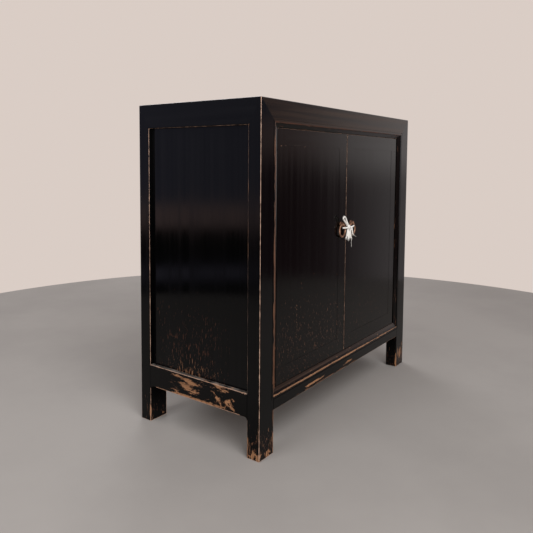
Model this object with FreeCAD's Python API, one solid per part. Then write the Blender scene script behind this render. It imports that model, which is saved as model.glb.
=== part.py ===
"""Black-lacquered cabinet with square posts, two pivot-hung doors and tied ring pulls.

Millimetres. Z is up, the front looks along -Y, and the origin is on the floor below the middle
of the whole box. The left side is worked out first, and its mirror image gives the right side.
"""

import FreeCAD
import Part
import math
import os

from FreeCAD import Vector

# Overall box of the carcass
overall_width = 905.0
overall_depth = 425.0
overall_height = 900.0
arris_radius = 2.5
foot_radius = 1.0

# Posts, which run down to the floor as legs
post_width = 62.0
post_depth = 39.0

# Top frame
front_top_rail_height = 59.0
side_top_rail_height = 66.0
top_panel_thickness = 12.0
top_panel_drop = 0.5
top_batten_width = 40.0
top_batten_height = 24.0
top_batten_offset = 150.0

# Three-way mitre: two tenons stand on the post, and a tongue ties the two rails
corner_tenon_near_shares = (0.22, 0.50)
corner_tenon_far_shares = (0.58, 0.88)
corner_tenon_cover = 14.0
corner_tongue_width_shares = (0.35, 0.60)
corner_tongue_depth_shares = (0.40, 0.70)
corner_tongue_cover = 5.0
corner_tongue_height = 7.0

# Lower rails
bottom_rail_low = 112.5
bottom_rail_height = 37.5
bottom_rail_tenon_length = 30.0
bottom_rail_tenon_thickness = 12.0
bottom_rail_tenon_inset = 10.0
bottom_rail_tenon_shoulder = 7.5
side_rail_low = 105.0
side_rail_height = 61.0
side_rail_thickness = 32.0
side_rail_ear = 8.0
side_rail_tenon_length = 26.0
side_rail_tenon_thickness = 12.0
side_rail_tenon_inset = 8.0
side_rail_tenon_shoulder = 9.0

# Bead and quirk round the front opening
bead_width = 8.0
quirk_width = 1.6
quirk_depth = 1.6

# Floating panels of the carcass
panel_recess = 12.0
panel_thickness = 10.0
panel_tongue_thickness = 5.0
groove_depth = 8.0
back_board_count = 4
panel_batten_height = 30.0
panel_batten_thickness = 14.0
panel_batten_shares = (0.26, 0.76)

# Lining of the front opening, with a splayed face
jamb_lining_width = 15.0
head_lining_width = 9.5
sill_lining_width = 15.0
lining_depth = 32.0
lining_splay_start = 3.0
lining_splay_end = 8.5
lining_tongue_inset = 22.0
lining_tongue_thickness = 5.0
lining_tongue_depth = 4.0
lining_tongue_stop = 20.0

# Floor and shelf
floor_thickness = 14.0
floor_batten_width = 40.0
floor_batten_height = 24.0
floor_batten_offset = 200.0
floor_batten_tenon_length = 10.0
floor_batten_tenon_shoulder = 7.0
shelf_top = 500.0
shelf_thickness = 18.0
shelf_bearer_height = 24.0
shelf_play = 1.0

# Doors
door_recess = 9.0
door_thickness = 22.0
door_end_gap = 1.5
door_hinge_gap = 2.0
door_meeting_gap = 2.0
door_frame_width = 44.0
door_edge_radius = 6.0
door_meeting_radius = 1.5
door_tenon_length = 25.0
door_tenon_thickness = 8.0
door_tenon_shoulder = 9.0
door_panel_drop = 0.4
door_panel_line = 0.4
door_batten_height = 36.0
door_batten_thickness = 9.0
door_batten_shares = (0.27, 0.73)

# Wooden pivots of the doors
pivot_inset = 13.0
pivot_radius = 6.0
pivot_clearance = 0.08
upper_pivot_length = 7.0
upper_pivot_room = 0.6
lower_pivot_length = 9.7
seat_gap = 0.3

# Ring pulls
pull_inset = 30.0
pull_height = 559.0
plate_radius = 8.0
plate_thickness = 1.6
plate_rim_thickness = 0.7
staple_hole_radius = 3.9
staple_wire_radius = 1.3
staple_standoff = 5.5
staple_clearance = 0.1
clinch_length = 9.0
ring_radius = 18.0
ring_wire_radius = 2.8

# Fits
fit_clearance = 0.2
mortise_end_gap = 1.0
overrun = 5.0
touch = 0.01

# Cotton tie on the rings: angles count from a ring's right side, routes from the middle of its knot
cord_diameter = 5.0
hitch_cord_radius = 1.1
hitch_gap = 0.1
knot_radius = 6.8
knot_facet = 5.4
knot_lean = math.radians(35)
run_share = 0.45
left_knot_angle = math.radians(28)
right_knot_angle = math.radians(165)
left_arm_route = [(-4.2, -2.6, -2.2), (-14.0, -2.2, -2.6), (-24.0, -0.6, -2.2), (-33.2, 1.1, -1.7)]
left_loop_route = [(-4.9, 0.7, 2.2), (-14.8, 0.6, 11.6), (-26.1, 0.6, 20.4), (-33.2, 0.3, 25.5),
                   (-31.5, 0.1, 31.0), (-23.5, 0.3, 32.2), (-16.2, 0.6, 25.7), (-9.8, 0.6, 15.7),
                   (-0.3, 0.8, 5.35)]
left_long_tail_route = [(-2.0, 1.6, -4.8), (-4.4, 0.6, -15.0), (-7.6, 0.4, -25.0), (-10.5, 1.3, -34.5)]
left_short_tail_route = [(3.2, 1.2, -4.2), (4.6, 0.2, -15.5), (3.4, 0.2, -28.0), (3.2, 1.3, -39.1)]
right_arm_route = [(4.9, -1.0, 2.1), (11.5, -0.9, 4.4), (17.0, -0.7, 5.6)]
right_stub_route = [(2.6, -2.2, -4.2), (5.4, -1.6, -12.5), (9.1, -0.7, -20.0)]
right_tail_route = [(-2.4, 1.0, -4.75), (-4.2, 0.4, -15.0), (-0.5, 0.4, -25.0), (4.4, 1.3, -33.5)]

# Places worked out from the sizes above
half_width = overall_width / 2
staple_radius = staple_hole_radius + staple_wire_radius
pull_proud = staple_standoff + staple_radius + staple_wire_radius - door_recess
front = (pull_proud - overall_depth) / 2
back = front + overall_depth
outer = -half_width
post_inner = outer + post_width
front_post_back = front + post_depth
back_post_front = back - post_depth
opening_top = overall_height - front_top_rail_height
opening_low = bottom_rail_low + bottom_rail_height
side_opening_top = overall_height - side_top_rail_height
side_rail_top = side_rail_low + side_rail_height
panel_inner = panel_recess + panel_thickness
tongue_start = panel_recess + (panel_thickness - panel_tongue_thickness) / 2
tongue_end = tongue_start + panel_tongue_thickness
lining_inner = post_inner + jamb_lining_width
head_low = opening_top - head_lining_width
sill_top = opening_low + sill_lining_width
door_front = front + door_recess
door_back = door_front + door_thickness
door_outer = lining_inner + door_hinge_gap
door_free = -door_meeting_gap / 2
door_low = sill_top + door_end_gap
door_high = head_low - door_end_gap
door_height = door_high - door_low
door_panel_left = door_outer + door_frame_width
door_panel_right = door_free - door_frame_width
door_panel_low = door_low + door_frame_width
door_panel_high = door_high - door_frame_width
pivot_x = door_outer + pivot_inset
pivot_y = door_front + door_thickness / 2
pull_x = door_free - pull_inset
pull_axis_y = door_front - staple_standoff
ring_axis_z = pull_height - staple_hole_radius + ring_wire_radius + seat_gap
ring_centre = Vector(pull_x, pull_axis_y, ring_axis_z - ring_radius)
right_ring_centre = Vector(-ring_centre.x, ring_centre.y, ring_centre.z)
floor_top = opening_low + floor_thickness
shelf_low = shelf_top - shelf_thickness


def block(x, y, z):
    """Box between two limits on each axis."""
    corner = Vector(min(x), min(y), min(z))
    return Part.makeBox(max(x) - min(x), max(y) - min(y), max(z) - min(z), corner)


def grown(x, y, z, play=fit_clearance):
    """The same box with a play added on every side, for cutting a seat."""
    return block(*[(min(pair) - play, max(pair) + play) for pair in (x, y, z)])


def eased(solid, radius, *marks):
    """Rounds each straight edge whose middle lies at one of the marks."""
    edges = [e for e in solid.Edges if any(e.CenterOfMass.distanceToPoint(m) < touch for m in marks)]
    return solid.makeFillet(radius, edges)


def prism(points, run):
    """Solid swept from the closed polygon through the points along the vector run."""
    return Part.Face(Part.makePolygon(list(points) + [points[0]])).extrude(run)


def pyramid(base, apex):
    """Solid between a four-cornered base and a point."""
    faces = [Part.Face(Part.makePolygon(base + [base[0]]))]
    for a, b in zip(base, base[1:] + base[:1]):
        faces.append(Part.Face(Part.makePolygon([a, b, apex, a])))
    return Part.Solid(Part.Shell(faces))


def joined(first, *others):
    """One solid made of several that share faces."""
    return first.fuse(list(others)).removeSplitter()


def flip_x(shape):
    """Mirror image on the other side of the cabinet's middle."""
    return shape.mirror(Vector(), Vector(1, 0, 0))


def flip_y(shape):
    """Mirror image at the other end of the carcass, front to back."""
    return shape.mirror(Vector(0, (front + back) / 2, 0), Vector(0, 1, 0))


def between(start, size, shares):
    """Two places at the given shares of a size."""
    return tuple(start + size * share for share in shares)


def save(name, *solids):
    """Writes one node, which holds one solid or a group of separate ones."""
    shape = solids[0] if len(solids) == 1 else Part.makeCompound(list(solids))
    if not shape.isValid():
        raise ValueError(name + " is not a valid solid")
    shape.exportStep("parts/" + name + ".step")


def save_pair(name, solid_maker):
    """Writes the left piece and its mirror image."""
    left = solid_maker()
    save("left_" + name, left)
    save("right_" + name, flip_x(left))


def whole_box():
    """Overall box with worn arrises, sharper round the feet."""
    box = block((outer, half_width), (front, back), (0, overall_height))
    box = box.makeFillet(arris_radius, [e for e in box.Edges if e.CenterOfMass.z > touch])
    return box.makeFillet(foot_radius, [e for e in box.Edges if e.BoundBox.ZMax < touch])


envelope = whole_box()


# Top frame and posts

def front_mitre_end():
    """Pointed left end of the front top rail: a pyramid from its section to the outer corner."""
    high, low = overall_height, opening_top
    base = [Vector(post_inner, y, z) for y, z in
            ((front, high), (front_post_back, high), (front_post_back, low), (front, low))]
    return pyramid(base, Vector(outer, front, high))


def side_mitre_end():
    """Pointed front end of the left top rail, reaching the same outer corner."""
    high, low = overall_height, side_opening_top
    base = [Vector(x, front_post_back, z) for x, z in
            ((outer, high), (post_inner, high), (post_inner, low), (outer, low))]
    return pyramid(base, Vector(outer, front, high))


def corner_tenons():
    """Limits of the post's two tenons: one into the front rail, one into the side rail."""
    z = (opening_top, overall_height - corner_tenon_cover)
    to_front = (between(outer, post_width, corner_tenon_far_shares),
                between(front, post_depth, corner_tenon_near_shares), z)
    to_side = (between(outer, post_width, corner_tenon_near_shares),
               between(front, post_depth, corner_tenon_far_shares), (side_opening_top, z[1]))
    return to_front, to_side


def corner_tongue():
    """Limits of the tongue that runs from the front rail into the side rail."""
    high = overall_height - corner_tongue_cover
    return (between(outer, post_width, corner_tongue_width_shares),
            between(front, post_depth, corner_tongue_depth_shares), (high - corner_tongue_height, high))


def post_blank():
    """Post with its two visible inner arrises rounded and its top cut to the three-way mitre."""
    middle = overall_height / 2
    blank = block((outer, post_inner), (front, front_post_back), (0, overall_height))
    blank = eased(blank, arris_radius, Vector(post_inner, front, middle),
                  Vector(outer, front_post_back, middle))
    blank = blank.cut([front_mitre_end(), side_mitre_end()])
    to_front, to_side = corner_tenons()
    return joined(blank, block(*to_front), block(*to_side)).common(envelope)


def bottom_rail_tenon():
    """Limits of the front bottom rail's left tenon."""
    y = front + bottom_rail_tenon_inset
    return ((post_inner - bottom_rail_tenon_length, post_inner), (y, y + bottom_rail_tenon_thickness),
            (bottom_rail_low + bottom_rail_tenon_shoulder, opening_low - bottom_rail_tenon_shoulder))


def side_rail_tenon():
    """Limits of the left side rail's front tenon."""
    x = outer + side_rail_tenon_inset
    high = side_rail_top - groove_depth - side_rail_tenon_shoulder
    return ((x, x + side_rail_tenon_thickness), (front_post_back - side_rail_tenon_length, front_post_back),
            (side_rail_low + side_rail_tenon_shoulder, high))


def mortise(limits, axis):
    """Seat for a tenon, a little deeper than the tenon along the given axis."""
    room = list(limits)
    room[axis] = (room[axis][0] - mortise_end_gap, room[axis][1] + overrun)
    return grown(*room)


def post():
    """Post with the mortises of both lower rails and the groove of the side panel."""
    groove = block((outer + tongue_start - fit_clearance, outer + tongue_end + fit_clearance),
                   (front_post_back - groove_depth, front_post_back + overrun),
                   (side_rail_top - groove_depth, side_opening_top + groove_depth))
    return post_blank().cut([mortise(bottom_rail_tenon(), 0), mortise(side_rail_tenon(), 1), groove])


def front_post():
    """Front post, with the quirk beside its bead and the seat of the jamb lining's tongue."""
    x = post_inner - bead_width
    quirk = block((x - quirk_width, x), (front - overrun, front + quirk_depth),
                  (opening_low - bead_width - quirk_width, opening_top + bead_width + quirk_width))
    return post().cut([quirk, tongue_seat(jamb_tongue())])


def back_post():
    """Back post, with the groove of the back boards in its inner face."""
    groove = block((post_inner - groove_depth, post_inner + overrun), back_groove_y(),
                   (opening_low - groove_depth, opening_top + groove_depth))
    return flip_y(post()).cut(groove)


def back_groove_y():
    """Depth limits of the groove round the back boards."""
    return back - tongue_end - fit_clearance, back - tongue_start + fit_clearance


def top_rail_front_blank():
    """Front top rail with pointed ends, the post tenons' mortises and the tongue into the side rail."""
    ends = front_mitre_end()
    body = block((post_inner, -post_inner), (front, front_post_back), (opening_top, overall_height))
    body = eased(body, arris_radius, Vector(0, front, opening_top))
    rail = joined(body, ends, flip_x(ends))
    tongue = block(*corner_tongue())
    seat = mortise_up(corner_tenons()[0])
    return joined(rail, tongue, flip_x(tongue)).cut([seat, flip_x(seat), top_panel_groove()]).common(envelope)


def mortise_up(limits):
    """Seat for a post tenon, a little higher than the tenon and open below."""
    x, y, z = limits
    return grown(x, y, (z[0] - overrun, z[1] + mortise_end_gap))


def top_panel_groove():
    """Ring-shaped groove round the top panel, cut into the four top rails."""
    high = overall_height - top_panel_drop - (top_panel_thickness - panel_tongue_thickness) / 2
    z = (high - panel_tongue_thickness - fit_clearance, high + fit_clearance)
    return block((post_inner - groove_depth, groove_depth - post_inner),
                 (front_post_back - groove_depth, back_post_front + groove_depth), z)


def top_rail_front():
    """Front top rail, with the quirk above its bead and the seat of the head lining's tongue."""
    z = opening_top + bead_width
    x = post_inner - bead_width - quirk_width
    quirk = block((x, -x), (front - overrun, front + quirk_depth), (z, z + quirk_width))
    return top_rail_front_blank().cut([quirk, tongue_seat(head_tongue())])


def top_rail_back():
    """Back top rail, with the groove of the back boards in its lower face."""
    groove = block((post_inner - groove_depth, groove_depth - post_inner), back_groove_y(),
                   (opening_top - overrun, opening_top + groove_depth))
    return flip_y(top_rail_front_blank()).cut(groove)


def top_rail_side():
    """Left top rail, with the side panel's groove below and seats for the corner joints."""
    ends = side_mitre_end()
    body = block((outer, post_inner), (front_post_back, back_post_front), (side_opening_top, overall_height))
    body = eased(body, arris_radius, Vector(outer, (front + back) / 2, side_opening_top))
    rail = joined(body, ends, flip_y(ends))
    groove = block((outer + tongue_start - fit_clearance, outer + tongue_end + fit_clearance),
                   (front_post_back - groove_depth, back_post_front + groove_depth),
                   (side_opening_top - overrun, side_opening_top + groove_depth))
    seats = [mortise_up(corner_tenons()[1]), grown(*corner_tongue())]
    return rail.cut(seats + [flip_y(s) for s in seats] + [groove, top_panel_groove()]).common(envelope)


def top_panel():
    """Floating top board, with a tongue all round."""
    high = overall_height - top_panel_drop
    low = high - top_panel_thickness
    edge = (top_panel_thickness - panel_tongue_thickness) / 2
    reach = groove_depth - seat_gap
    core = block((post_inner + fit_clearance, -post_inner - fit_clearance),
                 (front_post_back + fit_clearance, back_post_front - fit_clearance), (low, high))
    tongue = block((post_inner - reach, reach - post_inner),
                   (front_post_back - reach, back_post_front + reach), (low + edge, high - edge))
    return joined(core, tongue)


def top_battens():
    """Two bars under the top board, between the front and back rails."""
    high = overall_height - top_panel_drop - top_panel_thickness
    bar = block((-top_batten_offset - top_batten_width / 2, -top_batten_offset + top_batten_width / 2),
                (front_post_back, back_post_front), (high - top_batten_height, high))
    return bar, flip_x(bar)


# Lower rails

def bottom_rail_blank():
    """Bottom rail between two posts, tenoned at both ends and mortised for the floor battens."""
    y = (front, front_post_back)
    body = block((post_inner, -post_inner), y, (bottom_rail_low, opening_low))
    body = eased(body, arris_radius, Vector(0, front, opening_low), Vector(0, front, bottom_rail_low))
    tenon = block(*bottom_rail_tenon())
    seats = [mortise_back(bar) for bar in floor_batten_tenons()]
    return joined(body, tenon, flip_x(tenon)).cut(seats)


def mortise_back(limits):
    """Seat for a floor batten's front tenon, a little deeper than the tenon."""
    x, y, z = limits
    return grown(x, (y[0] - mortise_end_gap, y[1] + overrun), z)


def bottom_rail_front():
    """Front bottom rail, with the quirk below its bead and the seat of the sill lining's tongue."""
    z = opening_low - bead_width
    quirk = block((post_inner, -post_inner), (front - overrun, front + quirk_depth), (z - quirk_width, z))
    return bottom_rail_blank().cut([quirk, tongue_seat(sill_tongue())])


def bottom_rail_back():
    """Back bottom rail, with the groove of the back boards in its upper face."""
    groove = block((post_inner - groove_depth, groove_depth - post_inner), back_groove_y(),
                   (opening_low - groove_depth, opening_low + overrun))
    return flip_y(bottom_rail_blank()).cut(groove)


def side_rail():
    """Left lower rail, whose underside curves down into the posts with small ears."""
    y0, y1 = front_post_back, back_post_front
    low, ear = side_rail_low, side_rail_ear
    bend = ear * math.sqrt(0.5)
    corners = [Vector(outer, y0, side_rail_top), Vector(outer, y0, low - ear), Vector(outer, y0 + ear, low),
               Vector(outer, y1 - ear, low), Vector(outer, y1, low - ear), Vector(outer, y1, side_rail_top)]
    arcs = {1: Vector(outer, y0 + ear - bend, low - ear + bend),
            3: Vector(outer, y1 - ear + bend, low - ear + bend)}
    edges = []
    for i, (a, b) in enumerate(zip(corners, corners[1:] + corners[:1])):
        edges.append(Part.Arc(a, arcs[i], b).toShape() if i in arcs else Part.makeLine(a, b))
    body = Part.Face(Part.Wire(edges)).extrude(Vector(side_rail_thickness, 0, 0))
    body = eased(body, arris_radius, Vector(outer, (y0 + y1) / 2, side_rail_top))
    tenon = block(*side_rail_tenon())
    groove = block((outer + tongue_start - fit_clearance, outer + tongue_end + fit_clearance),
                   (y0, y1), (side_rail_top - groove_depth, side_rail_top + overrun))
    return joined(body, tenon, flip_y(tenon)).cut(groove)


# Floating panels and their bars

def side_panel():
    """Left side board, with a tongue all round in the grooves of posts and rails."""
    x = outer + panel_recess
    reach = groove_depth - seat_gap
    core = block((x, x + panel_thickness),
                 (front_post_back + fit_clearance, back_post_front - fit_clearance),
                 (side_rail_top + fit_clearance, side_opening_top - fit_clearance))
    tongue = block((outer + tongue_start, outer + tongue_end),
                   (front_post_back - reach, back_post_front + reach),
                   (side_rail_top - reach, side_opening_top + reach))
    return joined(core, tongue)


def side_battens():
    """Two bars on the inside of the left side board, between the posts."""
    x = outer + panel_inner
    bars = []
    for z in between(side_rail_top, side_opening_top - side_rail_top, panel_batten_shares):
        bars.append(block((x, x + panel_batten_thickness), (front_post_back, back_post_front),
                          (z - panel_batten_height / 2, z + panel_batten_height / 2)))
    return bars


def back_boards():
    """Upright boards side by side in the grooves of the back frame."""
    reach = groove_depth - seat_gap
    step = -2 * post_inner / back_board_count
    boards = []
    for i in range(back_board_count):
        x = (post_inner + i * step, post_inner + (i + 1) * step)
        left = reach if i == 0 else 0
        right = reach if i == back_board_count - 1 else 0
        core_x = (x[0] + fit_clearance, x[1] - fit_clearance)
        core = block(core_x, (back - panel_inner, back - panel_recess),
                     (opening_low + fit_clearance, opening_top - fit_clearance))
        tongue = block((core_x[0] - left, core_x[1] + right), (back - tongue_end, back - tongue_start),
                       (opening_low - reach, opening_top + reach))
        boards.append(joined(core, tongue))
    return boards


def back_battens():
    """Two bars across the inside of the back boards, between the posts."""
    y = back - panel_inner
    bars = []
    for z in between(opening_low, opening_top - opening_low, panel_batten_shares):
        bars.append(block((post_inner, -post_inner), (y - panel_batten_thickness, y),
                          (z - panel_batten_height / 2, z + panel_batten_height / 2)))
    return bars


# Splayed lining of the front opening

def lining_bar(length_points, splay):
    """Lining with mitred ends: its front outline swept back, and its face cut to the splay."""
    outline = [Vector(x, front + lining_splay_start, z) for x, z in length_points]
    return prism(outline, Vector(0, lining_depth - lining_splay_start, 0)).cut(splay)


def splay_cut(across, outward, width, span):
    """Wedge that turns a lining's flat face into a splay. across is its opening-side edge as a point,
    outward points from that edge to the frame a width away, and span runs along the lining past both ends."""
    start, end = front + lining_splay_start, front + lining_splay_end
    edge = Vector(across.x, 0, across.z)
    frame_edge = edge + outward * width
    beyond = edge - outward * overrun
    slope = (end - start) / width
    points = [frame_edge + Vector(0, start, 0), frame_edge + Vector(0, start - overrun, 0),
              beyond + Vector(0, start - overrun, 0), beyond + Vector(0, end + slope * overrun, 0)]
    return prism([p - span / 2 for p in points], span)


def jamb_tongue():
    """Limits of the left jamb lining's tongue."""
    y = front + lining_tongue_inset
    return ((post_inner - lining_tongue_depth, post_inner), (y, y + lining_tongue_thickness),
            (opening_low + lining_tongue_stop, opening_top - lining_tongue_stop))


def head_tongue():
    """Limits of the head lining's tongue."""
    y = front + lining_tongue_inset
    x = post_inner + lining_tongue_stop
    return ((x, -x), (y, y + lining_tongue_thickness), (opening_top, opening_top + lining_tongue_depth))


def sill_tongue():
    """Limits of the sill lining's tongue."""
    x, y, z = head_tongue()
    return x, y, (opening_low - lining_tongue_depth, opening_low)


def tongue_seat(limits):
    """Seat of a lining's tongue, with the seat gap at its bottom."""
    return grown(*limits, play=seat_gap)


def jamb_lining():
    """Left jamb lining."""
    outline = [(post_inner, opening_low), (lining_inner, sill_top), (lining_inner, head_low),
               (post_inner, opening_top)]
    edge = Vector(lining_inner, 0, (opening_low + opening_top) / 2)
    splay = splay_cut(edge, Vector(-1, 0, 0), jamb_lining_width, Vector(0, 0, overall_height))
    return joined(lining_bar(outline, splay), block(*jamb_tongue()))


def pivot_socket(mouth, depth, up):
    """Round socket for a door's pivot, from the lining's edge inwards."""
    return Part.makeCylinder(pivot_radius + pivot_clearance, depth, Vector(pivot_x, pivot_y, mouth),
                             Vector(0, 0, up))


def head_lining():
    """Head lining with the deep upper sockets of both doors."""
    outline = [(post_inner, opening_top), (lining_inner, head_low), (-lining_inner, head_low),
               (-post_inner, opening_top)]
    splay = splay_cut(Vector(0, 0, head_low), Vector(0, 0, 1), head_lining_width,
                      Vector(overall_width, 0, 0))
    socket = pivot_socket(head_low, upper_pivot_length + upper_pivot_room, 1)
    bar = joined(lining_bar(outline, splay), block(*head_tongue()))
    return bar.cut([socket, flip_x(socket)])


def sill_lining():
    """Sill lining with the lower sockets that carry both doors."""
    outline = [(post_inner, opening_low), (lining_inner, sill_top), (-lining_inner, sill_top),
               (-post_inner, opening_low)]
    splay = splay_cut(Vector(0, 0, sill_top), Vector(0, 0, -1), sill_lining_width,
                      Vector(overall_width, 0, 0))
    socket = pivot_socket(sill_top, lower_pivot_length + seat_gap, -1)
    bar = joined(lining_bar(outline, splay), block(*sill_tongue()))
    return bar.cut([socket, flip_x(socket)])


# Floor and shelf

def floor_batten_tenons():
    """Limits of the front tenons of both floor battens."""
    bars = []
    for middle in (-floor_batten_offset, floor_batten_offset):
        x = (middle - floor_batten_width / 2 + floor_batten_tenon_shoulder,
             middle + floor_batten_width / 2 - floor_batten_tenon_shoulder)
        z = (opening_low - floor_batten_height + floor_batten_tenon_shoulder,
             opening_low - floor_batten_tenon_shoulder)
        bars.append((x, (front_post_back - floor_batten_tenon_length, front_post_back), z))
    return bars


def floor_battens():
    """Two bars from the front to the back bottom rail, which carry the floor board."""
    bars = []
    for middle, limits in zip((-floor_batten_offset, floor_batten_offset), floor_batten_tenons()):
        body = block((middle - floor_batten_width / 2, middle + floor_batten_width / 2),
                     (front_post_back, back_post_front), (opening_low - floor_batten_height, opening_low))
        tenon = block(*limits)
        bars.append(joined(body, tenon, flip_y(tenon)))
    return bars


def floor_board():
    """Floor board, notched round the four posts."""
    z = (opening_low, floor_top)
    narrow = post_inner + fit_clearance
    wide = outer + side_rail_thickness + fit_clearance
    middle = block((wide, -wide), (front_post_back + fit_clearance, back_post_front - fit_clearance), z)
    whole = block((narrow, -narrow),
                  (front + lining_depth + fit_clearance, back - panel_inner - fit_clearance), z)
    return joined(whole, middle)


def shelf():
    """Loose shelf board on its bearers."""
    x = outer + panel_inner + shelf_play
    return block((x, -x), (front_post_back + shelf_play, back_post_front - shelf_play),
                 (shelf_low, shelf_top))


def shelf_bearer():
    """Left bearer under the shelf, between the two left posts."""
    return block((outer + panel_inner, post_inner), (front_post_back, back_post_front),
                 (shelf_low - shelf_bearer_height, shelf_low))


# Doors

def door_groove(x, z):
    """Groove cut for the door panel's tongue between the given limits."""
    y = door_panel_tongue_y()
    return block(x, (y[0] - fit_clearance, y[1] + fit_clearance), z)


def door_panel_tongue_y():
    """Depth limits of the tongue round the door panel."""
    start = door_front + door_panel_drop + (panel_thickness - panel_tongue_thickness) / 2
    return start, start + panel_tongue_thickness


def door_tenons():
    """Limits of the door rails' tenons: left and right ends of the lower and the upper rail."""
    y = pivot_y - door_tenon_thickness / 2
    y = (y, y + door_tenon_thickness)
    ends = ((door_panel_left - door_tenon_length, door_panel_left),
            (door_panel_right, door_panel_right + door_tenon_length))
    heights = ((door_low + door_tenon_shoulder, door_panel_low - door_tenon_shoulder),
               (door_panel_high + door_tenon_shoulder, door_high - door_tenon_shoulder))
    return [[(x, y, z) for x in ends] for z in heights]


def door_mortises(end):
    """Seats of both rails' tenons in the hinge stile (end 0) or the meeting stile (end 1)."""
    rooms = []
    for rail in door_tenons():
        x, y, z = rail[end]
        ahead = (mortise_end_gap, overrun) if end == 0 else (overrun, mortise_end_gap)
        rooms.append(grown((x[0] - ahead[0], x[1] + ahead[1]), y, z))
    return rooms


def hinge_stile():
    """Left door's hinge stile, rounded at its turning edge, with a pivot at each end."""
    middle = (door_low + door_high) / 2
    body = block((door_outer, door_panel_left), (door_front, door_back), (door_low, door_high))
    body = eased(body, door_edge_radius, Vector(door_outer, door_front, middle))
    upper = Part.makeCylinder(pivot_radius, door_end_gap + upper_pivot_length,
                              Vector(pivot_x, pivot_y, door_high))
    lower = Part.makeCylinder(pivot_radius, door_end_gap + lower_pivot_length,
                              Vector(pivot_x, pivot_y, door_low), Vector(0, 0, -1))
    groove = door_groove((door_panel_left - groove_depth, door_panel_left + overrun),
                         (door_panel_low - groove_depth, door_panel_high + groove_depth))
    return joined(body, upper, lower).cut(door_mortises(0) + [groove])


def meeting_stile():
    """Left door's meeting stile, bored for the legs of the pull's staple."""
    middle = (door_low + door_high) / 2
    body = block((door_panel_right, door_free), (door_front, door_back), (door_low, door_high))
    body = eased(body, door_meeting_radius, Vector(door_free, door_front, middle))
    bores = staple_legs(staple_wire_radius + staple_clearance, door_front - overrun, door_back + overrun)
    groove = door_groove((door_panel_right - overrun, door_panel_right + groove_depth),
                         (door_panel_low - groove_depth, door_panel_high + groove_depth))
    return body.cut(door_mortises(1) + [groove] + bores)


def door_rail(low, high, tenons, groove_z):
    """Left door's upper or lower rail with its two tenons."""
    body = block((door_panel_left, door_panel_right), (door_front, door_back), (low, high))
    rail = joined(body, *[block(*limits) for limits in tenons])
    return rail.cut(door_groove((door_panel_left, door_panel_right), groove_z))


def door_bottom_rail():
    """Left door's lower rail, grooved on top."""
    groove_z = (door_panel_low - groove_depth, door_panel_low + overrun)
    return door_rail(door_low, door_panel_low, door_tenons()[0], groove_z)


def door_top_rail():
    """Left door's upper rail, grooved below."""
    groove_z = (door_panel_high - overrun, door_panel_high + groove_depth)
    return door_rail(door_panel_high, door_high, door_tenons()[1], groove_z)


def door_panel():
    """Left door's board, almost flush with the frame, held by a tongue all round."""
    line, reach = door_panel_line, groove_depth - seat_gap
    start = door_front + door_panel_drop
    core = block((door_panel_left + line, door_panel_right - line), (start, start + panel_thickness),
                 (door_panel_low + line, door_panel_high - line))
    tongue = block((door_panel_left - reach, door_panel_right + reach), door_panel_tongue_y(),
                   (door_panel_low - reach, door_panel_high + reach))
    return joined(core, tongue)


def door_battens():
    """Two bars behind the left door's board, between the stiles."""
    y = door_front + door_panel_drop + panel_thickness
    bars = []
    for z in between(door_low, door_height, door_batten_shares):
        bars.append(block((door_panel_left, door_panel_right), (y, y + door_batten_thickness),
                          (z - door_batten_height / 2, z + door_batten_height / 2)))
    return bars


# Ring pulls

def staple_legs(radius, start, end):
    """Two level rods, one above the other, from start to end in depth."""
    heights = (pull_height + staple_radius, pull_height - staple_radius)
    return [Part.makeCylinder(radius, end - start, Vector(pull_x, start, z), Vector(0, 1, 0))
            for z in heights]


def pull_plate():
    """Domed round plate on the left door, bored for the staple."""
    rise = plate_thickness - plate_rim_thickness
    sphere_radius = (plate_radius ** 2 + rise ** 2) / (2 * rise)
    bend_radius = plate_radius * math.sqrt(0.5)
    bend_height = plate_thickness - sphere_radius + math.sqrt(sphere_radius ** 2 - bend_radius ** 2)
    rim, crown = Vector(plate_radius, 0, plate_rim_thickness), Vector(0, 0, plate_thickness)
    outline = [Part.makeLine(Vector(), Vector(plate_radius, 0, 0)),
               Part.makeLine(Vector(plate_radius, 0, 0), rim),
               Part.Arc(rim, Vector(bend_radius, 0, bend_height), crown).toShape(),
               Part.makeLine(crown, Vector())]
    plate = Part.Face(Part.Wire(outline)).revolve(Vector(), Vector(0, 0, 1), 360)
    plate.rotate(Vector(), Vector(1, 0, 0), 90)
    plate.translate(Vector(pull_x, door_front, pull_height))
    bore_radius = staple_wire_radius + staple_clearance
    return plate.cut(staple_legs(bore_radius, door_front - overrun, door_front + overrun))


def pull_staple():
    """Staple of the left pull: a bow in front, legs through the stile, ends clinched apart behind."""
    centre = Vector(pull_x, pull_axis_y, pull_height)
    bow = Part.makeTorus(staple_radius, staple_wire_radius, centre, Vector(1, 0, 0))
    reach = staple_radius + staple_wire_radius
    bow = bow.common(block((pull_x - reach, pull_x + reach), (pull_axis_y - reach, pull_axis_y),
                           (pull_height - reach, pull_height + reach)))
    bend = door_back + staple_wire_radius
    legs = staple_legs(staple_wire_radius, pull_axis_y, bend)
    clinched = [Part.makeSphere(staple_wire_radius, Vector(pull_x, bend, pull_height + staple_radius)),
                Part.makeSphere(staple_wire_radius, Vector(pull_x, bend, pull_height - staple_radius)),
                Part.makeCylinder(staple_wire_radius, clinch_length,
                                  Vector(pull_x, bend, pull_height + staple_radius), Vector(0, 0, 1)),
                Part.makeCylinder(staple_wire_radius, clinch_length,
                                  Vector(pull_x, bend, pull_height - staple_radius), Vector(0, 0, -1))]
    return bow.fuse(legs + clinched)


def pull_ring(centre):
    """Ring hanging in its staple."""
    return Part.makeTorus(ring_radius, ring_wire_radius, centre, Vector(0, 1, 0))


# Cotton tie: each ring carries its own cord, hitched round the ring and knotted in front of it

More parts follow.
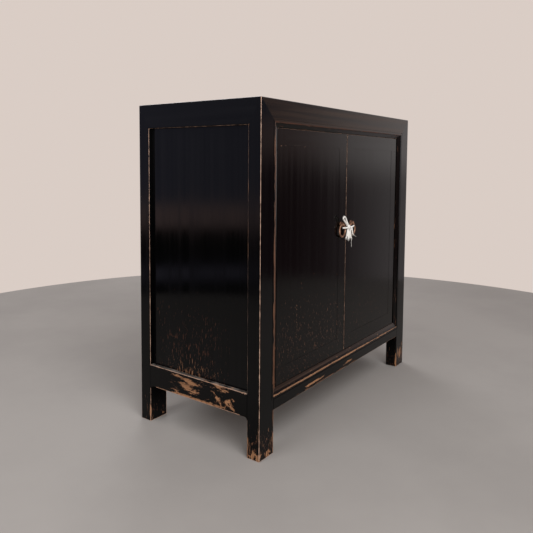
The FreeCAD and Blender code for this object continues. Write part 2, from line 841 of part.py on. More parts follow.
def spoke(turn):
    """Direction from a ring's middle to its wire at the given angle."""
    return Vector(math.cos(turn), 0, math.sin(turn))


def hitch(centre, turn):
    """Turn of cord round the ring's wire, at the given angle from the ring's right side."""
    wrap = ring_wire_radius + hitch_gap + hitch_cord_radius
    along_wire = Vector(-math.sin(turn), 0, math.cos(turn))
    return Part.makeTorus(wrap, hitch_cord_radius, centre + spoke(turn) * ring_radius, along_wire)


def away_from_ring(turn):
    """Direction from a hitch to its knot: forward, leaning outwards from the ring's middle."""
    return spoke(turn) * math.sin(knot_lean) - Vector(0, 1, 0) * math.cos(knot_lean)


def knot_centre(centre, turn):
    """Middle of a knot in front of a hitch."""
    away = ring_wire_radius + hitch_gap + 2 * hitch_cord_radius + seat_gap + knot_facet
    return centre + spoke(turn) * ring_radius + away_from_ring(turn) * away


def knot(middle, directions):
    """Ball with a flat facet towards the ring and towards each cord that leaves it."""
    ball = Part.makeSphere(knot_radius, middle)
    for way in directions:
        chip = Part.makeCylinder(knot_radius, knot_radius, middle + way * knot_facet, way)
        ball = ball.cut(chip)
    return ball


def tube(points):
    """Round cord along straight runs joined by arcs as large as the runs allow."""
    edges, start = [], points[0]
    for before, corner, after in zip(points, points[1:], points[2:]):
        way_in, way_out = (corner - before).normalize(), (after - corner).normalize()
        half_turn = way_in.getAngle(way_out) / 2
        tangent = run_share * min((corner - before).Length, (after - corner).Length)
        first, last = corner - way_in * tangent, corner + way_out * tangent
        inward = (way_out - way_in).normalize()
        middle = corner + inward * arc_offset(tangent, half_turn)
        edges += [Part.makeLine(start, first), Part.Arc(first, middle, last).toShape()]
        start = last
    edges.append(Part.makeLine(start, points[-1]))
    section = Part.Wire(Part.makeCircle(cord_diameter / 2, points[0], points[1] - points[0]))
    return Part.Wire(edges).makePipeShell([section], True, False)


def arc_offset(tangent, half_turn):
    """Distance from a corner of the route to the middle of the arc that rounds it."""
    radius = tangent / math.tan(half_turn)
    return radius / math.cos(half_turn) - radius


def route(origin, points):
    """Points of a cord, given from an origin."""
    return [origin + Vector(*p) for p in points]


def first_way(points):
    """Direction in which a cord leaves its knot."""
    return Vector(*points[0]).normalize()


def left_knot_ball(middle):
    """Left knot, with one facet for both ends of the loop and one for each other cord."""
    loop_way = (first_way(left_loop_route) + first_way(left_loop_route[::-1])).normalize()
    cords = (left_arm_route, left_long_tail_route, left_short_tail_route)
    return knot(middle, [-away_from_ring(left_knot_angle), loop_way] + [first_way(r) for r in cords])


def right_knot_ball(middle):
    """Right knot, with one facet for each cord."""
    cords = (right_arm_route, right_stub_route, right_tail_route)
    return knot(middle, [-away_from_ring(right_knot_angle)] + [first_way(r) for r in cords])


# Output

os.makedirs("parts", exist_ok=True)

save_pair("front_post", front_post)
save_pair("back_post", back_post)
save("front_top_rail", top_rail_front())
save("back_top_rail", top_rail_back())
save_pair("top_rail", top_rail_side)
save("top_panel", top_panel())
save("top_battens", *top_battens())
save("front_bottom_rail", bottom_rail_front())
save("back_bottom_rail", bottom_rail_back())
save_pair("side_rail", side_rail)
save_pair("side_panel", side_panel)
save_pair("side_battens", lambda: Part.makeCompound(side_battens()))
save("back_boards", *back_boards())
save("back_battens", *back_battens())
save_pair("jamb_lining", jamb_lining)
save("head_lining", head_lining())
save("sill_lining", sill_lining())
save("floor_battens", *floor_battens())
save("floor_board", floor_board())
save("shelf", shelf())
save_pair("shelf_bearer", shelf_bearer)

save_pair("hinge_stile", hinge_stile)
save_pair("meeting_stile", meeting_stile)
save_pair("door_top_rail", door_top_rail)
save_pair("door_bottom_rail", door_bottom_rail)
save_pair("door_panel", door_panel)
save_pair("door_battens", lambda: Part.makeCompound(door_battens()))
save_pair("pull_plate", pull_plate)
save_pair("pull_staple", pull_staple)
save_pair("pull_ring", lambda: pull_ring(ring_centre))

left_knot = knot_centre(ring_centre, left_knot_angle)
right_knot = knot_centre(right_ring_centre, right_knot_angle)
save("left_tie_hitch", hitch(ring_centre, left_knot_angle))
save("left_tie_knot", left_knot_ball(left_knot))
save("left_tie_arm", tube(route(left_knot, left_arm_route)))
save("left_tie_loop", tube(route(left_knot, left_loop_route)))
save("left_tie_long_tail", tube(route(left_knot, left_long_tail_route)))
save("left_tie_short_tail", tube(route(left_knot, left_short_tail_route)))
save("right_tie_hitch", hitch(right_ring_centre, right_knot_angle))
save("right_tie_knot", right_knot_ball(right_knot))
save("right_tie_arm", tube(route(right_knot, right_arm_route)))
save("right_tie_stub", tube(route(right_knot, right_stub_route)))
save("right_tie_tail", tube(route(right_knot, right_tail_route)))
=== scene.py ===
"""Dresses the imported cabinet: worn black lacquer, bare wood inside, patinated rings and a cotton tie.

Everything is in metres in the cabinet's own frame: Z is up and the doors look along -Y.
"""

from typing import NamedTuple, Sequence

import bpy
import numpy as np
from bpy.props import FloatProperty, FloatVectorProperty, IntProperty, PointerProperty
from mathutils import Matrix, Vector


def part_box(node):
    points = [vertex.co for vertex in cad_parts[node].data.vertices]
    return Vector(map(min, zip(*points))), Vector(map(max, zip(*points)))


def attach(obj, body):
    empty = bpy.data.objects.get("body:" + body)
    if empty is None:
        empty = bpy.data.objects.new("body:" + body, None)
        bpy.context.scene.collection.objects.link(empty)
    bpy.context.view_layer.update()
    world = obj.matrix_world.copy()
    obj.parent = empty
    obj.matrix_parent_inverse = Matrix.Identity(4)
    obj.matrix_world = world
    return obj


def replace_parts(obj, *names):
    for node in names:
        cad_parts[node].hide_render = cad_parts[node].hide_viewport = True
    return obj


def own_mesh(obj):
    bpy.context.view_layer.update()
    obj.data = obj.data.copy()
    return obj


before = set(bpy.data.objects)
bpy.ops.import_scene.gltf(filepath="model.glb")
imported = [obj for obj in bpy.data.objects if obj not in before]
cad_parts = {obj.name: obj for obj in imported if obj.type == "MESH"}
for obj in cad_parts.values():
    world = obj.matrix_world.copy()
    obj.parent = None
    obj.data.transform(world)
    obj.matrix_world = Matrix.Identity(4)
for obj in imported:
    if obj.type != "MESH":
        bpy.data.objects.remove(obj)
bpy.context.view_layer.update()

bl_info = {
    "name": "Lacquered cabinet",
    "version": (1, 0, 0),
    "blender": (4, 5, 0),
    "location": "View3D > Sidebar > Cabinet",
    "description": "Worn black lacquer, metal rings and a cotton tie on the cabinet's frame",
    "category": "Object",
}

SIDES = ("left", "right")
MILLIMETRE = 0.001


# Places on the frame

def box_of(node):
    """Low and high corner of a node's box as an array."""
    return np.array(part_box(node), float)


RING_RADIUS = 0.018
RING_WIRE_RADIUS = 0.0028
RING_MIDDLE = {side: box_of(side + "_pull_ring").mean(axis=0) for side in SIDES}
KNOT_AWAY = 0.0108
KNOT_LEAN = np.radians(35)
KNOT_ANGLE = {"left": np.radians(28), "right": np.radians(165)}


def spoke(side):
    """Direction from a ring's middle to its hitch."""
    return np.array([np.cos(KNOT_ANGLE[side]), 0.0, np.sin(KNOT_ANGLE[side])])


def knot_middle(side):
    """Middle of a knot: forward from the hitch, leaning outwards from the ring's middle."""
    away = spoke(side) * np.sin(KNOT_LEAN) - np.array([0.0, np.cos(KNOT_LEAN), 0.0])
    return RING_MIDDLE[side] + spoke(side) * RING_RADIUS + away * KNOT_AWAY


# Routes of the cords from the middle of their knot, in millimetres
LEFT_ARM = [(-4.2, -2.6, -2.2), (-14.0, -2.2, -2.6), (-24.0, -0.6, -2.2), (-33.2, 1.1, -1.7)]
LEFT_LOOP = [(-4.9, 0.7, 2.2), (-14.8, 0.6, 11.6), (-26.1, 0.6, 20.4), (-33.2, 0.3, 25.5),
             (-31.5, 0.1, 31.0), (-23.5, 0.3, 32.2), (-16.2, 0.6, 25.7), (-9.8, 0.6, 15.7),
             (-0.3, 0.8, 5.35)]
LEFT_LONG_TAIL = [(-2.0, 1.6, -4.8), (-4.4, 0.6, -15.0), (-7.6, 0.4, -25.0), (-10.5, 1.3, -34.5)]
LEFT_SHORT_TAIL = [(3.2, 1.2, -4.2), (4.6, 0.2, -15.5), (3.4, 0.2, -28.0), (3.2, 1.3, -39.1)]
RIGHT_ARM = [(4.9, -1.0, 2.1), (11.5, -0.9, 4.4), (17.0, -0.7, 5.6)]
RIGHT_STUB = [(2.6, -2.2, -4.2), (5.4, -1.6, -12.5), (9.1, -0.7, -20.0)]
RIGHT_TAIL = [(-2.4, 1.0, -4.75), (-4.2, 0.4, -15.0), (-0.5, 0.4, -25.0), (4.4, 1.3, -33.5)]
STUB_THREAD = [(9.0, -0.7, -19.5), (20.0, 0.0, -24.5), (29.0, 0.8, -27.5), (37.0, 1.3, -31.9)]
TAIL_THREAD = [(4.2, 1.2, -33.0), (6.5, 1.8, -43.0), (8.3, 2.2, -52.0), (9.2, 2.3, -59.8)]


# Settings that a user would change

def colour_setting(name, description, default):
    """Setting for a colour."""
    return FloatVectorProperty(name=name, description=description, default=default + (1,), subtype="COLOR",
                               size=4, min=0, max=1)


def length_setting(name, description, default, least, most):
    """Setting for a length."""
    return FloatProperty(name=name, description=description, default=default, min=least, max=most,
                         subtype="DISTANCE", unit="LENGTH")


class CabinetLacquer(bpy.types.PropertyGroup):
    """Colours and edge wear of the lacquer"""

    black: colour_setting("Lacquer", "Colour of the sound lacquer", (0.0009, 0.0008, 0.0008))
    undercoat: colour_setting("Undercoat", "Red-brown ground that shows round a chip", (0.060, 0.020, 0.010))
    wood: colour_setting("Worn wood", "Wood laid bare by wear", (0.31, 0.155, 0.078))
    pale: colour_setting("Rubbed edge", "Pale colour of rubbed arrises", (0.40, 0.27, 0.205))
    edge_width: length_setting("Edge wear", "Width of the wear along the arrises", 0.0022, 0, 0.02)


class CabinetInside(bpy.types.PropertyGroup):
    """Colours of the unfinished wood"""

    pale: colour_setting("Pale grain", "Light colour of the unfinished wood", (0.36, 0.22, 0.12))
    dark: colour_setting("Dark grain", "Dark colour of the unfinished wood", (0.15, 0.085, 0.045))


class CabinetPulls(bpy.types.PropertyGroup):
    """Colours of the ring pulls"""

    copper: colour_setting("Rubbed metal", "Colour of the metal where hands rub it", (0.50, 0.28, 0.17))
    patina: colour_setting("Patina", "Dark brown skin of the metal", (0.19, 0.095, 0.058))


class CabinetTie(bpy.types.PropertyGroup):
    """Make and colour of the cotton cord"""

    diameter: length_setting("Cord diameter", "Thickness of the cotton cord", 0.005, 0.001, 0.01)
    hitch_diameter: length_setting(
        "Hitch diameter", "Thickness of the cord where it is pulled tight round a ring", 0.0022, 0.001, 0.01)
    strands: IntProperty(name="Strands", description="Strands twisted into the cord", default=3, min=2, max=6)
    pitch: length_setting("Lay", "Length of one full turn of the strands", 0.014, 0.004, 0.05)
    cotton: colour_setting("Cotton", "Colour of the cord", (0.90, 0.885, 0.86))


class CabinetStage(bpy.types.PropertyGroup):
    """Colours and light of the stage"""

    floor: colour_setting("Floor", "Colour of the floor", (0.35, 0.332, 0.318))
    backdrop: colour_setting("Backdrop", "Colour seen behind the floor", (0.70, 0.61, 0.56))
    key_power: FloatProperty(
        name="Key light", description="Power of the large soft lamp", subtype="POWER", unit="POWER",
        default=85.0, min=0)
    fill: FloatProperty(
        name="Fill", description="Strength of the light from all round", default=0.55, min=0, max=2)
    mirrored: FloatProperty(
        name="Mirrored room", description="Strength of the room seen in gloss", default=1.0, min=0, max=4)


# Shader graphs

class Graph:
    """Adds nodes to a tree. A value given for a socket is either a constant or another socket."""

    def __init__(self, tree):
        self.tree = tree

    def add(self, kind, inputs=None, **settings):
        node = self.tree.nodes.new(kind)
        for key, value in settings.items():
            setattr(node, key, value)
        for key, value in (inputs or {}).items():
            self.feed(node.inputs[key], value)
        return node

    def feed(self, socket, value):
        if isinstance(value, bpy.types.NodeSocket):
            self.tree.links.new(value, socket)
        else:
            socket.default_value = value

    def calc(self, operation, *values):
        return self.add("ShaderNodeMath", dict(enumerate(values)), operation=operation).outputs[0]

    def vector(self, operation, *values):
        return self.add("ShaderNodeVectorMath", dict(enumerate(values)), operation=operation).outputs[0]

    def split(self, value):
        return self.add("ShaderNodeSeparateXYZ", {0: value}).outputs

    def fade(self, value, low, high):
        """0 below low, 1 above high and a smooth step between. It falls instead where low is the higher."""
        node = self.add("ShaderNodeMapRange", {"Value": value, "From Min": low, "From Max": high},
                        interpolation_type="SMOOTHSTEP")
        return node.outputs[0]

    def noise(self, place, scale, detail=3.0, rough=0.55):
        node = self.add("ShaderNodeTexNoise", {"Vector": place, "Scale": scale, "Detail": detail,
                                               "Roughness": rough})
        return node.outputs[0]

    def blend(self, share, first, second):
        """Colour that goes from first to second as the share goes from 0 to 1."""
        node = self.add("ShaderNodeMix", {0: share, 6: first, 7: second}, data_type="RGBA")
        return node.outputs[2]

    def place(self):
        return self.add("ShaderNodeTexCoord").outputs["Object"]

    def from_middle(self, place, middle, reach):
        """Distance from the middle of a box, as the largest share of its reach along any axis."""
        away = self.vector("DIVIDE", self.vector("SUBTRACT", place, middle), reach)
        x, y, z = self.split(self.vector("ABSOLUTE", away))
        return self.calc("MAXIMUM", self.calc("MAXIMUM", x, y), z)

    def bump(self, shader, height, strength, distance):
        """Lets a height raise the surface of a shader."""
        node = self.add("ShaderNodeBump", {"Height": height, "Strength": strength, "Distance": distance})
        self.feed(shader["Normal"], node.outputs[0])

    def group(self, name, **inputs):
        """Outputs of one of the shared effects, placed with its own values."""
        node = self.add("ShaderNodeGroup", node_tree=shared_group(name))
        for key, value in inputs.items():
            self.feed(node.inputs[key], value)
        return node.outputs


def new_group(name, inputs, outputs):
    """Empty shader group with the given sockets, and its graph, inputs and output node."""
    tree = bpy.data.node_groups.new(name, "ShaderNodeTree")
    for direction, sockets in (("INPUT", inputs), ("OUTPUT", outputs)):
        for socket, kind in sockets.items():
            tree.interface.new_socket(socket, in_out=direction, socket_type="NodeSocket" + kind)
    graph = Graph(tree)
    return graph, graph.add("NodeGroupInput").outputs, graph.add("NodeGroupOutput").inputs


# Levels of the noises at which wear begins, how far they fall where wear is denser, and the step above them
EDGE_CHIPS_FROM, EDGE_CHIPS_FALL, EDGE_CHIPS_STEP = 0.80, 0.34, 0.16
PATCH_FROM, PATCH_FALL, PATCH_STEP = 0.80, 0.36, 0.05

# Other limits and shares of the effects
EDGE_CHIPS_REACH = 1.5
EDGE_LINE_LEAST, EDGE_LINE_SWELL = 0.7, 0.5
EDGE_LEAST = 0.00002
EDGE_SHARPNESS = 0.75
PATCH_CORE = 0.15
SPARED_FROM = 0.85
SPECK_SHARE = 0.6


def edge_wear_group():
    """Wear along the edges of a box. The middle one of a point's distances to the three nearest faces is its
    distance to the nearest edge. A thin line of uneven width follows every edge, and chips reach further
    in where two noises allow."""
    g, given, out = new_group("cabinet edge wear", {"Low": "Vector", "High": "Vector", "Width": "Float",
                                                    "Amount": "Float", "Line": "Float"}, {"Mask": "Float"})
    place = g.place()
    nearest = g.vector("MINIMUM", g.vector("SUBTRACT", place, given["Low"]),
                       g.vector("SUBTRACT", given["High"], place))
    x, y, z = g.split(nearest)
    edge = g.calc("MAXIMUM", g.calc("MINIMUM", x, y), g.calc("MINIMUM", g.calc("MAXIMUM", x, y), z))
    broad = g.noise(place, 26.0)
    fine = g.noise(place, 240.0, detail=4.0, rough=0.7)
    start = g.calc("SUBTRACT", EDGE_CHIPS_FROM, g.calc("MULTIPLY", given["Amount"], EDGE_CHIPS_FALL))
    spread = g.fade(broad, start, g.calc("ADD", start, EDGE_CHIPS_STEP))
    spread = g.calc("MULTIPLY", spread, EDGE_CHIPS_REACH)
    chips = g.calc("MULTIPLY", given["Width"], g.calc("MULTIPLY", spread, g.fade(fine, 0.30, 0.60)))
    uneven = g.fade(g.noise(place, 70.0, detail=4.0, rough=0.6), 0.3, 0.7)
    uneven = g.calc("ADD", g.calc("MULTIPLY", uneven, EDGE_LINE_SWELL), EDGE_LINE_LEAST)
    reach = g.calc("MAXIMUM", chips, g.calc("MULTIPLY", given["Line"], uneven))
    reach = g.calc("ADD", reach, EDGE_LEAST)
    beyond = g.fade(edge, g.calc("MULTIPLY", reach, EDGE_SHARPNESS), reach)
    g.feed(out["Mask"], g.calc("SUBTRACT", 1.0, beyond))
    return g.tree


def worn_patch_group():
    """Chips inside a soft-edged box: a noise stretched along the grain is cut off at a level that falls
    towards the middle of the box. Depth is how far the chips go through the lacquer."""
    g, given, out = new_group("cabinet worn patch", {
        "Middle": "Vector", "Reach": "Vector", "Stretch": "Vector", "Density": "Float", "Depth": "Float",
        "Ragged": "Float"}, {"Mask": "Float"})
    place = g.place()
    away = g.from_middle(place, given["Middle"], given["Reach"])
    inside = g.calc("SUBTRACT", 1.0, g.fade(away, PATCH_CORE, 1.0))
    chips = g.noise(g.vector("MULTIPLY", place, given["Stretch"]), 1.0, detail=6.0, rough=given["Ragged"])
    weight = g.calc("MULTIPLY", given["Density"], inside)
    level = g.calc("SUBTRACT", PATCH_FROM, g.calc("MULTIPLY", weight, PATCH_FALL))
    mask = g.fade(chips, level, g.calc("ADD", level, PATCH_STEP))
    mask = g.calc("MULTIPLY", mask, g.fade(inside, 0.0, PATCH_CORE))
    g.feed(out["Mask"], g.calc("MULTIPLY", mask, given["Depth"]))
    return g.tree


def spared_box_group():
    """0 inside a box and 1 outside it, with a soft step just inside its faces."""
    g, given, out = new_group("cabinet spared box", {"Middle": "Vector", "Reach": "Vector"},
                              {"Mask": "Float"})
    away = g.from_middle(g.place(), given["Middle"], given["Reach"])
    g.feed(out["Mask"], g.fade(away, SPARED_FROM, 1.0))
    return g.tree


def grain_group():
    """Streaks of wood grain: a noise drawn out along the grain, in a fine and a broad copy."""
    g, given, out = new_group("cabinet grain", {"Stretch": "Vector"}, {"Fine": "Float", "Broad": "Float"})
    along = g.vector("MULTIPLY", g.place(), given["Stretch"])
    g.feed(out["Fine"], g.noise(along, 1.0, detail=6.0, rough=0.65))
    g.feed(out["Broad"], g.noise(along, 0.30, detail=3.0, rough=0.5))
    return g.tree


def dust_and_top_light_group():
    """Settled dust, and painted light on faces that look up: more on those faces, broken by a cloudy noise
    and by specks.
    """
    g, given, out = new_group("cabinet dust", {"Amount": "Float"}, {"Mask": "Float"})
    up = g.split(g.add("ShaderNodeNewGeometry").outputs["Normal"])[2]
    cloud = g.fade(g.noise(g.place(), 18.0, detail=5.0, rough=0.65), 0.30, 0.72)
    specks = g.fade(g.noise(g.place(), 900.0, detail=2.0), 0.62, 0.72)
    cover = g.calc("ADD", cloud, g.calc("MULTIPLY", specks, SPECK_SHARE))
    settled = g.calc("MULTIPLY", g.fade(up, 0.1, 0.95), cover)
    g.feed(out["Mask"], g.calc("MULTIPLY", settled, given["Amount"]))
    return g.tree


GROUPS = {}


def shared_group(name):
    """The shared effect of that name, built the first time it is asked for."""
    makers = {"edge": edge_wear_group, "patch": worn_patch_group, "spared": spared_box_group,
              "grain": grain_group, "dust_and_top_light": dust_and_top_light_group}
    if name not in GROUPS:
        GROUPS[name] = makers[name]()
    return GROUPS[name]


def new_material(name):
    """Material with an empty graph, that graph and the inputs of its Principled shader."""
    material = bpy.data.materials.new(name)
    material.use_nodes = True
    material.node_tree.nodes.clear()
    graph = Graph(material.node_tree)
    shader = graph.add("ShaderNodeBsdfPrincipled")
    graph.tree.links.new(shader.outputs[0], graph.add("ShaderNodeOutputMaterial").inputs["Surface"])
    return material, graph, shader.inputs


def shaded(colour, share):
    """A colour with a share of its light."""
    return tuple(share * value for value in colour[:3]) + (1,)


def dress(node, material):
    """Gives a node of the frame one material."""
    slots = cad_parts[node].data.materials
    slots.clear()
    slots.append(material)


# Lacquer

# Scales of noises along the axes: the smaller the number, the longer the marks along that axis
GRAIN_ALONG = {"x": (4.0, 210.0, 210.0), "y": (210.0, 4.0, 210.0), "z": (210.0, 210.0, 4.0)}
STREAKS = (300.0, 300.0, 38.0)
FINE_STREAKS = (300.0, 300.0, 22.0)
LONG_STREAKS = (390.0, 390.0, 44.0)
FIBRES = (420.0, 420.0, 95.0)
SPECKS = (330.0, 330.0, 330.0)
FOOT_CHIPS = (75.0, 75.0, 42.0)
LEG_CHIPS = (110.0, 110.0, 26.0)
RAIL_FLAKES = (60.0, 18.0, 85.0)
RAIL_TEETH_CHIPS = (60.0, 70.0, 130.0)
RAIL_END_CHIPS = (60.0, 60.0, 85.0)
RAIL_LEDGE_CHIPS = (60.0, 35.0, 110.0)
FRONT_RAIL_LINE = (18.0, 160.0, 160.0)
FRONT_RAIL_BEAD = (28.0, 160.0, 160.0)
FRONT_RAIL_SCRAPES = (24.0, 90.0, 150.0)
HEAD_STREAKS = (20.0, 300.0, 300.0)
SILL_CHIPS = (45.0, 300.0, 300.0)
JOINT_SCUFFS = (60.0, 200.0, 330.0)

# Reaches of worn patches: right through a piece, all along it, and so far across it that no edge fades
THROUGH = 0.2
THROUGH_RAIL = 0.05
ALL_ALONG = 4.0
ACROSS_TIMES = 4
ACROSS_MORE = 0.02
LEG_ARRIS = (0.010, 0.010, 0.13)
LEG_FACE = (0.05, 0.006, 0.075)
RIM = (0.004, 0.004, ALL_ALONG)
BEAD = (0.010, 0.02, ALL_ALONG)

# Middle of the side rails' wear by Y and Z, and the other worn places from there
SIDE_RAIL_WORN = (0.035, 0.140)
RAIL_END = np.array([0.0, -0.130, -0.014])
RAIL_LEDGE = np.array([0.0, -0.125, 0.019])
RAIL_TEETH = np.array([0.0, -0.035, -0.032])

# Other worn places: distances from the edges of the front rails, and places on legs, side panels and doors
TOP_RAIL_LINE_UP = 0.0022
BOTTOM_RAIL_LINE_UP = 0.0032
SCRAPES_UP = 0.0125
BEAD_DOWN = 0.0015
LEG_FACE_HEIGHT = 0.045
PANEL_WORN_Y = 0.030
DOOR_JOINT_DOWN = 0.044
DOT_ROW = (-0.2715, -0.19, 0.32)

# Margins at joints and hidden edges, where nothing is worn
SIDE_RAIL_EAR = 0.008
TOP_EDGE_SPARED = 0.02
FOOT_SPARED = np.array([0.0, 0.0, 0.02])
HEAD_SPARED = np.array([0.0, 0.0, 0.0004])
JOINT_SPARED = 0.012
EAR_SPARED = (THROUGH, 0.024, 0.014)

# Shading of the lacquer: the depths of wear at which its ground and the wood show, then the shares that
# turn it pale, dusty with painted light from above, rough or raised
GROUND_SHOWS = (0.08, 0.40)
WOOD_SHOWS = (0.45, 0.80)
FADED_LIGHT = 3.4
DARK_WOOD_LIGHT = 0.55
DUST_AND_TOP_LIGHT = (0.34, 0.30, 0.27, 1)
DUST_AND_TOP_LIGHT_COVER = 0.6
GRAIN_ROUGHER = 0.06
WEAR_ROUGHER = 0.25
LACQUER_SPECULAR = 0.16
GRAIN_RELIEF = 0.10


class Look(NamedTuple):
    """How one lacquered piece is worn. grain is the axis of its grain, line the width of the rubbed line
    along the arrises, edge and amount the width and the spread of the chips on them, pale the share of pale
    wood there, and patches its other worn places. roughness is that of sound lacquer, warmth how far its
    black leans to red, and dust_and_top_light how much settled dust, and painted light on faces that look up,
    lies on it. haze_and_painted_band is a height and two distances from it between which the lacquer turns
    dull and lighter, and dulled_and_painted_light its colour there; on the sill lining that lighter colour is
    painted light. box holds the limits whose edges are worn, if they aren't the piece's own, and spared the
    boxes in which nothing is worn, each by its middle and its reach."""

    grain: str
    line: float = 0.0012
    edge: float = 1.0
    amount: float = 0.5
    patches: Sequence = ()
    roughness: float = 0.20
    warmth: float = 1.0
    dust_and_top_light: float = 0.0
    pale: float = 0.3
    haze_and_painted_band: Sequence = (0.1, 0.05, 0.35)
    dulled_and_painted_light: Sequence | None = None
    box: Sequence | None = None
    spared: Sequence = ()


def lacquer_material(settings, node, look):
    """Black lacquer that is rubbed through to a red-brown ground and then to the wood."""
    material, g, shader = new_material("lacquer " + node)
    low, high = look.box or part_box(node)
    rubbed = g.group("edge", Low=tuple(low), High=tuple(high), Amount=look.amount,
                     Width=settings.edge_width * look.edge, Line=look.line)["Mask"]
    wear = rubbed
    for patch in look.patches:
        wear = g.calc("MAXIMUM", wear, g.group("patch", **patch)["Mask"])
    for middle, reach in look.spared:
        wear = g.calc("MULTIPLY", wear, g.group("spared", Middle=tuple(middle), Reach=tuple(reach))["Mask"])
    grain = g.group("grain", Stretch=GRAIN_ALONG[look.grain])
    dust_and_top_light = g.group("dust_and_top_light", Amount=look.dust_and_top_light)["Mask"]
    ground = g.fade(wear, *GROUND_SHOWS)
    bare = g.fade(wear, *WOOD_SHOWS)
    black = tuple(settings.black)
    warm = (black[0] * look.warmth, black[1], black[2] / look.warmth, 1)
    faded_and_painted_light = look.dulled_and_painted_light or shaded(warm, FADED_LIGHT)
    # Away from a height the lacquer turns dull and lighter in broad streaks. On the sill lining this lighter
    # colour is painted light, around a black band of painted shade.
    height, near, far = look.haze_and_painted_band
    distance = g.calc("ABSOLUTE", g.calc("SUBTRACT", g.split(g.place())[2], height))
    dull_and_painted_light = g.calc("MULTIPLY", g.fade(distance, near, far), g.fade(grain["Broad"], 0.25, 0.70))
    lacquer = g.blend(dull_and_painted_light, warm, faded_and_painted_light)
    wood = tuple(settings.wood)
    wood_grain = g.blend(g.fade(grain["Fine"], 0.35, 0.62), shaded(wood, DARK_WOOD_LIGHT), wood)
    wood_grain = g.blend(g.calc("MULTIPLY", rubbed, look.pale), wood_grain, tuple(settings.pale))
    colour = g.blend(ground, lacquer, tuple(settings.undercoat))
    colour = g.blend(bare, colour, wood_grain)
    # Settled dust in pale grey. On faces that look up, and most on the side rails' ledge, it is partly
    # painted light.
    colour = g.blend(g.calc("MULTIPLY", dust_and_top_light, DUST_AND_TOP_LIGHT_COVER), colour, DUST_AND_TOP_LIGHT)
    g.feed(shader["Base Color"], colour)
    gloss = g.calc("MULTIPLY", g.fade(grain["Broad"], 0.3, 0.8), GRAIN_ROUGHER)
    gloss = g.calc("ADD", look.roughness, gloss)
    gloss = g.calc("ADD", gloss, g.calc("MULTIPLY", g.calc("ADD", ground, dust_and_top_light), WEAR_ROUGHER))
    g.feed(shader["Roughness"], gloss)
    shader["Specular IOR Level"].default_value = LACQUER_SPECULAR
    relief = g.calc("SUBTRACT", g.calc("MULTIPLY", grain["Fine"], GRAIN_RELIEF), wear)
    g.bump(shader, relief, strength=0.35, distance=0.0006)
    return material


def worn(middle, reach, stretch, density, depth=1.0, ragged=0.62):
    """One worn patch. A depth of 1 goes down to the wood, and less than a half to the red-brown ground."""
    return {"Middle": tuple(middle), "Reach": tuple(reach), "Stretch": stretch, "Density": density,
            "Depth": depth, "Ragged": ragged}


def across(node, stretch, density, z_reach, depth=1.0):
    """Worn patch over the whole lower part of a node."""
    low, high = box_of(node)
    middle = (low + high) / 2
    reach = (high - low) * ACROSS_TIMES + ACROSS_MORE
    middle[2] = low[2]
    reach[2] = z_reach
    return worn(middle, reach, stretch, density, depth)


def post_look(node, line, streaks, bead=0.0, foot=0.82, rim=0.0, face=0.0, fibres=0.66):
    """Post: a worn line along the arrises, chips at the foot and up its two side arrises, streaks and fibres
    above it, two rubbed inner edges, the rim at the side panel and the bead at the doors, and chips on the
    lower part of its face. An inner edge is one that is nearer to the cabinet's middle. The joints with the
    lower rails are spared."""
    box = box_of(node)
    inner_x, inner_y = (min(box[:, axis], key=abs) for axis in (0, 1))
    outer_x, outer_y = (max(box[:, axis], key=abs) for axis in (0, 1))
    middle = box[1, 2] / 2
    side, end = node.split("_")[:2]
    spared = []
    for rail, place, reach in ((side + "_side_rail", (outer_x, inner_y), (THROUGH, JOINT_SPARED)),
                               (end + "_bottom_rail", (inner_x, outer_y), (JOINT_SPARED, THROUGH))):
        low, high = (corner[2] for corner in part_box(rail))
        spared.append((place + ((low + high) / 2,), reach + ((high - low) / 2,)))
    patches = [
        across(node, FOOT_CHIPS, foot, z_reach=0.055),
        across(node, STREAKS, streaks, z_reach=0.20),
        across(node, FIBRES, fibres, z_reach=0.15, depth=0.5),
        worn((inner_x, outer_y, 0.0), LEG_ARRIS, LEG_CHIPS, density=1.05),
        worn((outer_x, inner_y, 0.0), LEG_ARRIS, LEG_CHIPS, density=1.05),
        worn((outer_x, inner_y, middle), RIM, FINE_STREAKS, rim, depth=0.85),
        worn(((inner_x + outer_x) / 2, outer_y, LEG_FACE_HEIGHT), LEG_FACE, LEG_CHIPS, face, depth=0.75),
        worn((inner_x, box[0, 1], middle), BEAD, FINE_STREAKS, bead, depth=0.58)]
    return Look("z", line, edge=0.9, amount=0.35, patches=patches, roughness=0.10, warmth=0.90, pale=0.9,
                haze_and_painted_band=(0.1, 0.1, 1.4), spared=spared)


